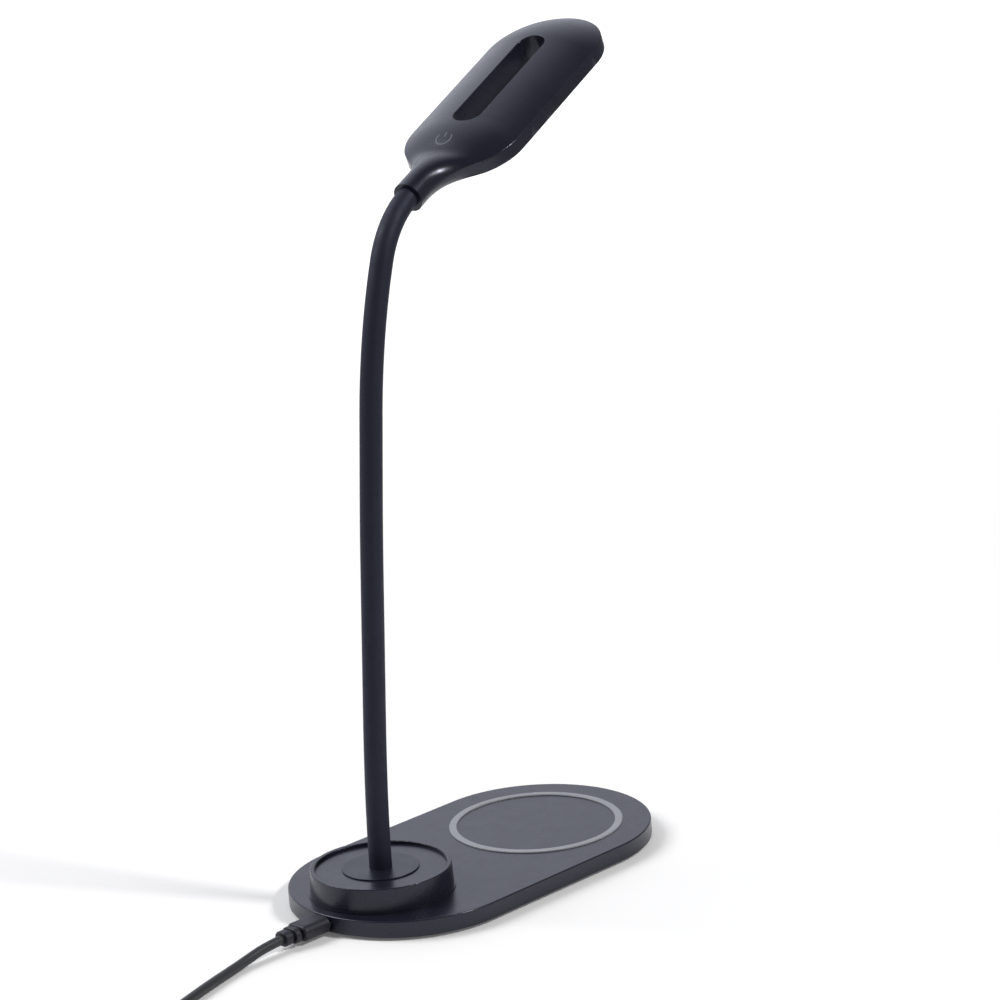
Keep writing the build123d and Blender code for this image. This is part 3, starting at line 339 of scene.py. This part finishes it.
def lay_lead():
    """The lead as one smooth curve, from its plug to the far plug's relief."""
    line = bpy.data.curves.new("lead", "CURVE")
    line.dimensions = "3D"
    line.bevel_depth = lead_diameter / 2 * MM
    line.bevel_resolution = 6
    line.resolution_u = 6
    line.use_fill_caps = True
    spline = line.splines.new("NURBS")
    places = in_metres(*lead_route[:-1], *wound_route(), *tail_route[1:])
    spline.points.add(len(places) - 1)
    for point, place in zip(spline.points, places):
        point.co = (*place, 1)
    spline.order_u = 3
    spline.use_endpoint_u = True
    line.materials.append(finishes["lead_rubber"])
    lead = link(bpy.data.objects.new("lead", line))
    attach(lead, "base")
    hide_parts("cord_lead", "cord_coil", "cord_tail")
    return lead


lead = lay_lead()


# ------------------------------------------------------------------ Geometry node trees
class Tree:
    """A tree of geometry nodes with named inputs for its sizes."""

    def __init__(self, name, **sizes):
        self.group = bpy.data.node_groups.new(name, "GeometryNodeTree")
        face = self.group.interface
        face.new_socket("Geometry", in_out="INPUT", socket_type="NodeSocketGeometry")
        self.sockets = {}
        for size, kind in sizes.items():
            socket = face.new_socket(size.replace("_", " ").title(), in_out="INPUT",
                                     socket_type="NodeSocket" + kind)
            self.sockets[size] = socket
        face.new_socket("Geometry", in_out="OUTPUT", socket_type="NodeSocketGeometry")
        self.start = self.group.nodes.new("NodeGroupInput")
        self.end = self.group.nodes.new("NodeGroupOutput")
        self.column = 0

    def given(self, size=None):
        """The input socket for a size, or the geometry that comes in."""
        return self.start.outputs["Geometry" if size is None
                                  else self.sockets[size].name]

    def add(self, kind, inputs=None, **settings):
        """A node with its settings, and its inputs linked or set."""
        node = self.group.nodes.new(kind)
        self.column += 1
        node.location = (200 * self.column, -120 * (self.column % 3))
        for key, value in settings.items():
            setattr(node, key, value)
        for key, value in (inputs or {}).items():
            if isinstance(value, bpy.types.NodeSocket):
                self.group.links.new(value, node.inputs[key])
            else:
                node.inputs[key].default_value = value
        return node

    def sum(self, operation, first, second):
        """Arithmetic on two numbers."""
        return self.add("ShaderNodeMath", {0: first, 1: second},
                        operation=operation).outputs[0]

    def vector(self, operation, first, second, output="Vector"):
        """Arithmetic on two vectors, or a vector and a scale."""
        key = 3 if operation == "SCALE" else 1
        return self.add("ShaderNodeVectorMath", {0: first, key: second},
                        operation=operation).outputs[output]

    def finish(self, geometry, finish):
        """Ends the tree in real geometry with its finish."""
        real = self.add("GeometryNodeRealizeInstances", {"Geometry": geometry})
        painted = self.add("GeometryNodeSetMaterial", {"Geometry": real.outputs[0],
                                                       "Material": finish})
        self.group.links.new(painted.outputs[0], self.end.inputs[0])
        self.end.location = (200 * self.column + 300, 0)
        return self


def grow(tree, source, name, angle=None, **sizes):
    """Runs a tree on a source object with its sizes and keeps the result as a plain mesh."""
    carrier = link(bpy.data.objects.new(name + "_source", source))
    modifier = carrier.modifiers.new("shape", "NODES")
    modifier.node_group = tree.group
    for size, value in sizes.items():
        modifier[tree.sockets[size].identifier] = value
    bpy.context.view_layer.update()
    seen = carrier.evaluated_get(bpy.context.evaluated_depsgraph_get())
    mesh = bpy.data.meshes.new_from_object(seen)
    carrier.modifiers.clear()
    bpy.data.objects.remove(carrier)
    mesh.name = name
    smooth(mesh, angle)
    return link(bpy.data.objects.new(name, mesh))


def points_mesh(places):
    """Places in metres as loose points for a tree to stand pieces on."""
    mesh = bpy.data.meshes.new("places")
    mesh.from_pydata([tuple(place) for place in places], [], [])
    return mesh


# ------------------------------------------------------------------ Neck
heading = Vector((cos(radians(neck_heading)), sin(radians(neck_heading)), 0))


def neck_place(distance):
    """The middle of the neck at a distance along it from the hub's deck, and its direction."""
    place, lean = Vector((0, 0, deck_top)), 0.0
    left = distance
    for number, turn in enumerate(neck_turns):
        last = number == len(neck_turns) - 1
        run = min(left, neck_pitch) if left > 0 else left
        swing = radians(turn) * run / neck_pitch if run > 0 else 0
        if abs(swing) < 1e-9:
            place = place + (heading * sin(lean) + Vector((0, 0, cos(lean)))) * run
        else:
            radius = run / swing
            place = place + heading * radius * (cos(lean) - cos(lean + swing)) \
                + Vector((0, 0, radius * (sin(lean + swing) - sin(lean))))
        lean += swing
        left -= run
        if last and left > 0:
            place = place + (heading * sin(lean) + Vector((0, 0, cos(lean)))) * left
        if left <= 0:
            break
    return place * MM, heading * sin(lean) + Vector((0, 0, cos(lean)))


neck_length = neck_pitch * len(neck_turns)
hinge_distances = [neck_pitch * number for number in range(1, len(neck_turns))]


def neck_line():
    """The neck's middle line, from the foot of its core to the core's end in the head."""
    line = bpy.data.curves.new("neck_line", "CURVE")
    line.dimensions = "3D"
    spline = line.splines.new("POLY")
    total = neck_length + seat_depth + core_grip
    count = 280
    places = [neck_place((total + core_grip) * step / (count - 1) - core_grip)[0]
              for step in range(count)]
    spline.points.add(count - 1)
    for point, place in zip(spline.points, places):
        point.co = (*place, 1)
    return line


def sleeve_tree():
    """A tube with a bore that follows the neck's line between two distances along it."""
    tree = Tree("neck_sleeve_tube", start="Float", end="Float", bore="Float", wall="Float",
                step="Float", sides="Int")
    cut = tree.add("GeometryNodeTrimCurve", {"Curve": tree.given()}, mode="LENGTH")
    tree.group.links.new(tree.given("start"), cut.inputs[4])
    tree.group.links.new(tree.given("end"), cut.inputs[5])
    even = tree.add("GeometryNodeResampleCurve", {"Curve": cut.outputs[0],
                                                  "Length": tree.given("step")},
                    mode="LENGTH")
    round_section = tree.add("GeometryNodeCurvePrimitiveCircle",
                             {"Resolution": tree.given("sides"), "Radius": tree.given("bore")})
    bore = tree.add("GeometryNodeCurveToMesh", {"Curve": even.outputs[0],
                                                "Profile Curve": round_section.outputs[0]})
    skin = tree.add("GeometryNodeExtrudeMesh", {"Mesh": bore.outputs[0],
                                                "Offset Scale": tree.given("wall"),
                                                "Individual": False}, mode="FACES")
    inside = tree.add("GeometryNodeFlipFaces", {"Mesh": bore.outputs[0]})
    both = tree.add("GeometryNodeJoinGeometry")
    tree.group.links.new(skin.outputs[0], both.inputs[0])
    tree.group.links.new(inside.outputs[0], both.inputs[0])
    whole = tree.add("GeometryNodeMergeByDistance", {"Geometry": both.outputs[0],
                                                     "Distance": 1e-6})
    return tree.finish(whole.outputs[0], finishes["sleeve_rubber"])


def core_tree():
    """A wire wound closely round the neck's line between two distances along it."""
    tree = Tree("wound_core", start="Float", end="Float", winding_radius="Float",
                wire_radius="Float", pitch="Float", points="Int", sides="Int")
    cut = tree.add("GeometryNodeTrimCurve", {"Curve": tree.given()}, mode="LENGTH")
    tree.group.links.new(tree.given("start"), cut.inputs[4])
    tree.group.links.new(tree.given("end"), cut.inputs[5])
    even = tree.add("GeometryNodeResampleCurve", {"Curve": cut.outputs[0],
                                                  "Count": tree.given("points")},
                    mode="COUNT")
    where = tree.add("GeometryNodeSplineParameter")
    run = tree.sum("ADD", where.outputs["Length"], tree.given("start"))
    angle = tree.sum("MULTIPLY", tree.sum("DIVIDE", run, tree.given("pitch")), 2 * pi)
    along = tree.add("GeometryNodeInputTangent").outputs[0]
    side = tree.add("GeometryNodeInputNormal").outputs[0]
    other = tree.vector("CROSS_PRODUCT", along, side)
    out = tree.vector("ADD", tree.vector("SCALE", side, tree.sum("COSINE", angle, 0.0)),
                      tree.vector("SCALE", other, tree.sum("SINE", angle, 0.0)))
    wound = tree.add("GeometryNodeSetPosition",
                     {"Geometry": even.outputs[0],
                      "Offset": tree.vector("SCALE", out, tree.given("winding_radius"))})
    wire = tree.add("GeometryNodeCurvePrimitiveCircle",
                    {"Resolution": tree.given("sides"), "Radius": tree.given("wire_radius")})
    coil = tree.add("GeometryNodeCurveToMesh", {"Curve": wound.outputs[0],
                                                "Profile Curve": wire.outputs[0],
                                                "Fill Caps": True})
    return tree.finish(coil.outputs[0], finishes["core_steel"])


def make_neck():
    """The sleeve and the wound core, in pieces that each bend over one hinge."""
    line = neck_line()
    sleeve, core = sleeve_tree(), core_tree()
    middles = [distance + neck_pitch / 2 for distance in hinge_distances]
    for number, hinge in enumerate(hinge_distances):
        first, last = number == 0, number == len(hinge_distances) - 1
        sleeve_start = 0 if first else middles[number - 1]
        sleeve_end = neck_length + seat_depth if last else middles[number]
        core_start = -core_grip if first else middles[number - 1]
        core_end = neck_length + seat_depth + core_grip if last else middles[number]
        tube = grow(sleeve, line, "neck_sleeve_bend_" + str(number + 1), 40,
                    start=(sleeve_start + core_grip) * MM, end=(sleeve_end + core_grip) * MM,
                    bore=sleeve_bore * MM, wall=(sleeve_radius - sleeve_bore) * MM,
                    step=1.1 * MM, sides=48)
        coil = grow(core, line, "neck_core_bend_" + str(number + 1), None,
                    start=(core_start + core_grip) * MM, end=(core_end + core_grip) * MM,
                    winding_radius=(2.58 - wire_diameter / 2) * MM,
                    wire_radius=wire_diameter / 2 * MM, pitch=wire_pitch * MM,
                    points=int((core_end - core_start) / wire_pitch * 14), sides=8)
        start, _ = neck_place(hinge - 10)
        end, _ = neck_place(hinge + 10)
        for piece, kind, slot in ((tube, "sleeve", "sleeve_rubber"), (coil, "coil", "core_steel")):
            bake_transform(piece)
            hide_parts("neck_" + kind + "_" + str(number + 1))
            if last:
                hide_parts("neck_" + kind + "_" + str(number + 2))


make_neck()


# ------------------------------------------------------------------ Head
mouth, head_along = neck_place(neck_length)
head_across = Vector((-heading.y, heading.x, 0))
head_up = head_along.cross(head_across)
head_middle = mouth + (head_along * collar_reach - head_up * (collar_radius - head_side)) * MM


def on_head(x, y, z):
    """A place in the head's own frame: x along it from the neck, y across, z up."""
    return head_middle + (head_along * x + head_across * y + head_up * z) * MM


def power_symbol():
    """The touch switch's mark, printed on the shell: a broken ring with a bar in its gap."""
    shell = nodes["head_shell"].data
    skin = BVHTree.FromPolygons([vertex.co for vertex in shell.vertices],
                                [tuple(face.vertices) for face in shell.polygons])
    middle, radius, width, gap = (-39.6, 1.9), 3.1, 0.42, 58
    outlines = []
    count = 48
    for edge in range(count + 1):
        angle = radians(gap + (360 - 2 * gap) * edge / count)
        out = (cos(angle), sin(angle))
        outlines.append([(middle[0] + out[0] * (radius + side * width / 2),
                          middle[1] + out[1] * (radius + side * width / 2))
                         for side in (-1, 1)])
    bar = [[(middle[0] + 0.5 + 2.2 * step / 8, middle[1] + side * width / 2)
            for side in (-1, 1)] for step in range(9)]
    points, faces = [], []
    for strip in (outlines, bar):
        base = len(points)
        for pair in strip:
            for x, y in pair:
                hit = skin.ray_cast(on_head(x, y, 30), -head_up)
                place, normal = hit[0], hit[1]
                points += [place + normal * 0.00004, place - normal * 0.00012]
        for step in range(len(strip) - 1):
            a = base + 4 * step
            b = a + 4
            faces += [(a, a + 2, b + 2, b), (a + 1, b + 1, b + 3, a + 3),
                      (a, b, b + 1, a + 1), (a + 2, a + 3, b + 3, b + 2)]
        last = base + 4 * (len(strip) - 1)
        faces += [(base, base + 1, base + 3, base + 2), (last, last + 2, last + 3, last + 1)]
    symbol = mesh_piece("power_symbol", points, faces, symbol_print)
    smooth(symbol.data, 30)
    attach(symbol, "head")
    return symbol


power_symbol()


# ------------------------------------------------------------------ Screws, LEDs and coil
def solids_of(node, towards):
    """The solids of a carried-over node: the middle of each end that faces a direction."""
    mesh = nodes[node].data
    joined, owner = {}, []
    for vertex in mesh.vertices:
        key = tuple(round(value, 6) for value in vertex.co)
        joined.setdefault(key, len(joined))
        owner.append(joined[key])
    parent = list(range(len(joined)))

    def root(spot):
        while parent[spot] != spot:
            parent[spot] = parent[parent[spot]]
            spot = parent[spot]
        return spot

    for edge in mesh.edges:
        first, second = root(owner[edge.vertices[0]]), root(owner[edge.vertices[1]])
        parent[first] = second
    groups = {}
    for key, spot in joined.items():
        groups.setdefault(root(spot), []).append(Vector(key))
    towards = towards.normalized()
    side = head_across if abs(towards.dot(head_across)) < 0.5 else Vector((1, 0, 0))
    other = towards.cross(side)
    places = []
    for points in groups.values():
        spans = [[point.dot(axis) for point in points] for axis in (side, other, towards)]
        middle = [(min(span) + max(span)) / 2 for span in spans[:2]]
        places.append(side * middle[0] + other * middle[1] + towards * max(spans[2]))
    return places


def turned_to(towards, along):
    """The turn that stands a piece's z towards one direction, with its x near another."""
    third = towards.normalized()
    first = (along - third * along.dot(third)).normalized()
    second = third.cross(first)
    return Matrix((first, second, third)).transposed().to_euler()


def stand(tree, piece, turn):
    """Stands a piece on every point that comes in, turned alike."""
    facing = tree.add("FunctionNodeEulerToRotation", {"Euler": turn})
    return tree.add("GeometryNodeInstanceOnPoints",
                    {"Points": tree.given(), "Instance": piece,
                     "Rotation": facing.outputs[0]}).outputs[0]


def moved(tree, geometry, height):
    """Geometry moved along z."""
    spot = tree.add("ShaderNodeCombineXYZ", {"Z": height})
    return tree.add("GeometryNodeTransform", {"Geometry": geometry,
                                              "Translation": spot.outputs[0]}).outputs[0]


def screw_tree():
    """A cross-recessed pan-head screw whose head ends at each point, with a rolled thread."""
    tree = Tree("cross_recess_screw", head_radius="Float", head_height="Float",
                shaft_radius="Float", shaft_length="Float", thread_pitch="Float",
                recess_width="Float", recess_depth="Float", turn="Vector")
    head_radius, head_height = tree.given("head_radius"), tree.given("head_height")
    length, shaft_radius = tree.given("shaft_length"), tree.given("shaft_radius")
    barrel = tree.add("GeometryNodeMeshCylinder", {"Vertices": 40, "Radius": head_radius,
                                                   "Depth": head_height})
    barrel = moved(tree, barrel.outputs["Mesh"], tree.sum("MULTIPLY", head_height, -0.5))
    dome_radius = tree.sum("ADD", tree.sum("MULTIPLY", head_height, 0.25),
                           tree.sum("DIVIDE", tree.sum("MULTIPLY", head_radius, head_radius),
                                    head_height))
    dome = tree.add("GeometryNodeMeshUVSphere", {"Segments": 96, "Rings": 64,
                                                 "Radius": dome_radius})
    dome = moved(tree, dome.outputs["Mesh"], tree.sum("MULTIPLY", dome_radius, -1.0))
    head = tree.add("GeometryNodeMeshBoolean", {"Mesh 2": barrel}, operation="INTERSECT",
                    solver="MANIFOLD")
    tree.group.links.new(dome, head.inputs["Mesh 2"])
    width, depth = tree.given("recess_width"), tree.given("recess_depth")
    tall = tree.sum("MULTIPLY", depth, 2.0)
    reach = tree.sum("MULTIPLY", head_radius, 1.1)
    bar = tree.add("GeometryNodeMeshCube",
                   {"Size": tree.add("ShaderNodeCombineXYZ",
                                     {"X": reach, "Y": width, "Z": tall}).outputs[0]})
    cross_bar = tree.add("GeometryNodeMeshCube",
                         {"Size": tree.add("ShaderNodeCombineXYZ",
                                           {"X": width, "Y": reach, "Z": tall}).outputs[0]})
    cut = tree.add("GeometryNodeMeshBoolean", {"Mesh 1": head.outputs[0],
                                               "Mesh 2": bar.outputs["Mesh"]},
                   operation="DIFFERENCE", solver="MANIFOLD")
    tree.group.links.new(cross_bar.outputs["Mesh"], cut.inputs["Mesh 2"])
    shaft = tree.add("GeometryNodeMeshCylinder",
                     {"Vertices": 24, "Radius": tree.sum("MULTIPLY", shaft_radius, 0.86),
                      "Depth": length})
    below = tree.sum("SUBTRACT", tree.sum("MULTIPLY", length, -0.5), head_height)
    shaft = moved(tree, shaft.outputs["Mesh"], below)
    pitch = tree.given("thread_pitch")
    turns = tree.sum("SUBTRACT", tree.sum("DIVIDE", length, pitch), 1.0)
    ridge_radius = tree.sum("MULTIPLY", shaft_radius, 0.86)
    thread = tree.add("GeometryNodeCurveSpiral",
                      {"Resolution": 24, "Rotations": turns, "Start Radius": ridge_radius,
                       "End Radius": ridge_radius,
                       "Height": tree.sum("MULTIPLY", turns, pitch)})
    ridge = tree.add("GeometryNodeCurvePrimitiveCircle",
                     {"Resolution": 4, "Radius": tree.sum("MULTIPLY", shaft_radius, 0.13)})
    wound = tree.add("GeometryNodeCurveToMesh", {"Curve": thread.outputs[0],
                                                 "Profile Curve": ridge.outputs[0],
                                                 "Fill Caps": True})
    start = tree.sum("ADD", tree.sum("MULTIPLY", pitch, 0.5),
                     tree.sum("SUBTRACT", tree.sum("MULTIPLY", length, -1.0), head_height))
    whole = tree.add("GeometryNodeJoinGeometry")
    for piece in (cut.outputs[0], shaft, moved(tree, wound.outputs[0], start)):
        tree.group.links.new(piece, whole.inputs[0])
    return tree.finish(stand(tree, whole.outputs[0], tree.given("turn")),
                       finishes["screw_steel"])


def led_tree():
    """A square LED package with a domed pane of phosphor."""
    tree = Tree("led_package", size="Float", height="Float", turn="Vector")
    size, height = tree.given("size"), tree.given("height")
    deep = tree.sum("MULTIPLY", height, 0.72)
    block = tree.add("GeometryNodeMeshCube",
                     {"Size": tree.add("ShaderNodeCombineXYZ",
                                       {"X": size, "Y": size, "Z": deep}).outputs[0]})
    block = moved(tree, block.outputs["Mesh"],
                  tree.sum("SUBTRACT", tree.sum("MULTIPLY", deep, 0.5), height))
    pane = tree.add("GeometryNodeMeshUVSphere",
                    {"Segments": 32, "Rings": 16, "Radius": tree.sum("MULTIPLY", size, 0.40)})
    squash = tree.add("ShaderNodeCombineXYZ", {"X": 1.0, "Y": 1.0, "Z": 0.24})
    pane = tree.add("GeometryNodeTransform", {"Geometry": pane.outputs["Mesh"],
                                              "Scale": squash.outputs[0]})
    pane = moved(tree, pane.outputs[0], tree.sum("SUBTRACT", deep, height))
    whole = tree.add("GeometryNodeJoinGeometry")
    for piece in (block, pane):
        tree.group.links.new(piece, whole.inputs[0])
    return tree.finish(stand(tree, whole.outputs[0], tree.given("turn")),
                       finishes["led_yellow"])


def coil_tree():
    """Flat-wound enamelled wire, from the coil's bore out to its edge."""
    tree = Tree("flat_winding", inner_radius="Float", outer_radius="Float",
                wire_radius="Float", turn="Vector")
    wire = tree.given("wire_radius")
    inner = tree.sum("ADD", tree.given("inner_radius"), wire)
    outer = tree.sum("SUBTRACT", tree.given("outer_radius"), wire)
    turns = tree.sum("DIVIDE", tree.sum("SUBTRACT", outer, inner),
                     tree.sum("MULTIPLY", wire, 2.04))
    spiral = tree.add("GeometryNodeCurveSpiral",
                      {"Resolution": 72, "Rotations": turns, "Start Radius": inner,
                       "End Radius": outer, "Height": 0.0})
    section = tree.add("GeometryNodeCurvePrimitiveCircle", {"Resolution": 12, "Radius": wire})
    wound = tree.add("GeometryNodeCurveToMesh", {"Curve": spiral.outputs[0],
                                                 "Profile Curve": section.outputs[0],
                                                 "Fill Caps": True})
    return tree.finish(stand(tree, wound.outputs[0], tree.given("turn")),
                       finishes["coil_copper"])


def fit_small_pieces():
    """Screws, LEDs and the charging coil in the places the solids keep for them."""
    screw = screw_tree()
    down, up = Vector((0, 0, -1)), Vector((0, 0, 1))
    for node, body, towards, radius, height, shaft, length, pitch in (
            ("base_screws", "base", down, 2.0, 0.5, 1.1, 3.3, 0.5),
            ("hub_screws", "base", down, 2.7, 1.5, 1.5, 6.0, 0.6),
            ("board_screws", "base", up, 1.7, 0.8, 0.9, 1.9, 0.4),
            ("led_board_screws", "head", -head_up, 1.6, 0.9, 0.8, 2.6, 0.4)):
        turn = turned_to(towards, head_along)
        piece = grow(screw, points_mesh(solids_of(node, towards)), node + "_cut", 35,
                     head_radius=radius * MM, head_height=height * MM,
                     shaft_radius=shaft * MM, shaft_length=length * MM,
                     thread_pitch=pitch * MM, recess_width=radius * 0.24 * MM,
                     recess_depth=height * 0.55 * MM, turn=tuple(turn))
        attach(piece, body)
        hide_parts(node)
    packages = grow(led_tree(), points_mesh(solids_of("leds", -head_up)), "led_packages", 35,
                    size=2.8 * MM, height=0.7 * MM, turn=tuple(turned_to(-head_up, head_along)))
    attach(packages, "head")
    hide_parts("leds")
    middle = solids_of("charge_coil", up)[0] - Vector((0, 0, 0.6 * MM))
    winding = grow(coil_tree(), points_mesh([middle]), "charging_winding", 60,
                   inner_radius=9.0 * MM, outer_radius=22.0 * MM, wire_radius=0.6 * MM,
                   turn=(0.0, 0.0, 0.0))
    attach(winding, "base")
    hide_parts("charge_coil")


fit_small_pieces()


# ------------------------------------------------------------------ Floor and light
def lay_floor():
    """A white floor that runs out of sight and keeps the lamp's soft shadow."""
    reach = 14
    floor = mesh_piece("floor", [(-reach, -reach, 0), (reach, -reach, 0), (reach, reach, 0),
                                 (-reach, reach, 0)], [(0, 1, 2, 3)], None)
    finish, tree, skin = new_finish("white_floor")
    skin.inputs["Roughness"].default_value = 0.9
    skin.inputs["Specular IOR Level"].default_value = 0.1
    where = place_of(tree)

    def number(kind, first, second):
        node = tree.nodes.new("ShaderNodeMath")
        node.operation = kind
        for socket, value in zip(node.inputs, (first, second)):
            if isinstance(value, bpy.types.NodeSocket):
                tree.links.new(value, socket)
            else:
                socket.default_value = value
        return node.outputs[0]

    def along(direction):
        node = tree.nodes.new("ShaderNodeVectorMath")
        node.operation = "DOT_PRODUCT"
        tree.links.new(where, node.inputs[0])
        node.inputs[1].default_value = direction
        return node.outputs["Value"]

    def eased(value, start, end, low, high):
        node = tree.nodes.new("ShaderNodeMapRange")
        node.interpolation_type = "SMOOTHSTEP"
        for name, given in (("From Min", start), ("From Max", end), ("To Min", low),
                            ("To Max", high)):
            node.inputs[name].default_value = given
        tree.links.new(value, node.inputs["Value"])
        return node.outputs["Result"]

    # White paper that widens away behind the lamp, and a grey floor beside it
    behind = along((0.687, 0.726, 0))
    beside = number("ABSOLUTE", along((0.726, -0.687, 0)), 0.0)
    past_edge = number("SUBTRACT", beside, number("MULTIPLY", behind, 0.19))
    paper = number("MULTIPLY", eased(past_edge, 0.30, 0.65, 1, 0),
                   eased(behind, -0.75, -0.4, 0, 1))
    colour = tree.nodes.new("ShaderNodeMix")
    colour.data_type = "RGBA"
    colour.inputs[6].default_value = (0.29, 0.285, 0.285, 1)
    colour.inputs[7].default_value = (0.90, 0.895, 0.88, 1)
    tree.links.new(paper, colour.inputs["Factor"])
    tree.links.new(colour.outputs[2], skin.inputs["Base Color"])
    # The lights fall off far behind the lamp, so the paper is lifted to white there
    rays = tree.nodes.new("ShaderNodeLightPath")
    seen = number("MAXIMUM", number("MAXIMUM", rays.outputs["Is Camera Ray"],
                                    rays.outputs["Is Glossy Ray"]),
                  rays.outputs["Is Transmission Ray"])
    lift = number("MULTIPLY", eased(behind, 0.1, 2.2, floor_lift, far_floor_lift), paper)
    skin.inputs["Emission Color"].default_value = (1, 1, 1, 1)
    tree.links.new(number("MULTIPLY", seen, lift), skin.inputs["Emission Strength"])
    floor.data.materials[0] = finish


def area_light(name, place, towards, size, power, colour=(1, 1, 1)):
    lamp = bpy.data.lights.new(name, "AREA")
    lamp.shape = "RECTANGLE"
    lamp.size, lamp.size_y = size
    lamp.energy = power
    lamp.color = colour
    light = link(bpy.data.objects.new(name, lamp))
    light.location = place
    light.rotation_euler = (Vector(towards) - Vector(place)).to_track_quat("-Z", "Y").to_euler()
    return light


def light_studio():
    """A dim room with a pale wall beyond the lamp's far side, a key light and a fill."""
    world = bpy.data.worlds.new("dim_room")
    scene.world = world
    world.use_nodes = True
    tree = world.node_tree
    tree.nodes.clear()
    output = tree.nodes.new("ShaderNodeOutputWorld")
    where = tree.nodes.new("ShaderNodeTexCoord")
    upright = tree.nodes.new("ShaderNodeSeparateXYZ")
    tree.links.new(where.outputs["Generated"], upright.inputs[0])
    shade = tree.nodes.new("ShaderNodeValToRGB")
    steps = shade.color_ramp
    steps.elements[0].position, steps.elements[0].color = 0.0, (0.26, 0.26, 0.27, 1)
    steps.elements[1].position, steps.elements[1].color = 1.0, (0.09, 0.09, 0.095, 1)
    for place, value in ((0.34, 0.22), (0.7, 0.18), (0.9, 0.11)):
        steps.elements.new(place).color = (value, value, value * 1.03, 1)
    tree.links.new(upright.outputs["Z"], shade.inputs["Fac"])
    towards = tree.nodes.new("ShaderNodeVectorMath")
    towards.operation = "DOT_PRODUCT"
    tree.links.new(where.outputs["Generated"], towards.inputs[0])
    towards.inputs[1].default_value = Vector((0.23, 0.85, 0.47)).normalized()
    wall = tree.nodes.new("ShaderNodeMapRange")
    wall.interpolation_type = "SMOOTHSTEP"
    wall.inputs["From Min"].default_value = 0.5
    wall.inputs["From Max"].default_value = 0.99
    wall.inputs["To Max"].default_value = 0.80
    tree.links.new(towards.outputs["Value"], wall.inputs["Value"])
    cool = tree.nodes.new("ShaderNodeVectorMath")
    cool.operation = "SCALE"
    cool.inputs[0].default_value = (0.93, 0.97, 1.12)
    tree.links.new(wall.outputs["Result"], cool.inputs["Scale"])
    total = tree.nodes.new("ShaderNodeMix")
    total.data_type = "RGBA"
    total.blend_type = "ADD"
    total.inputs["Factor"].default_value = 1
    tree.links.new(shade.outputs["Color"], total.inputs[6])
    tree.links.new(cool.outputs["Vector"], total.inputs[7])
    room = tree.nodes.new("ShaderNodeBackground")
    tree.links.new(total.outputs[2], room.inputs["Color"])
    tree.links.new(room.outputs[0], output.inputs["Surface"])
    area_light("key_softbox", (0.63, -1.40, 1.57), (0.05, 0, 0.15), (0.28, 0.28), 23)
    area_light("side_softbox", (-1.1, 1.5, 1.9), (0, 0, 0.15), (1.4, 1.4), 40)


lay_floor()
light_studio()
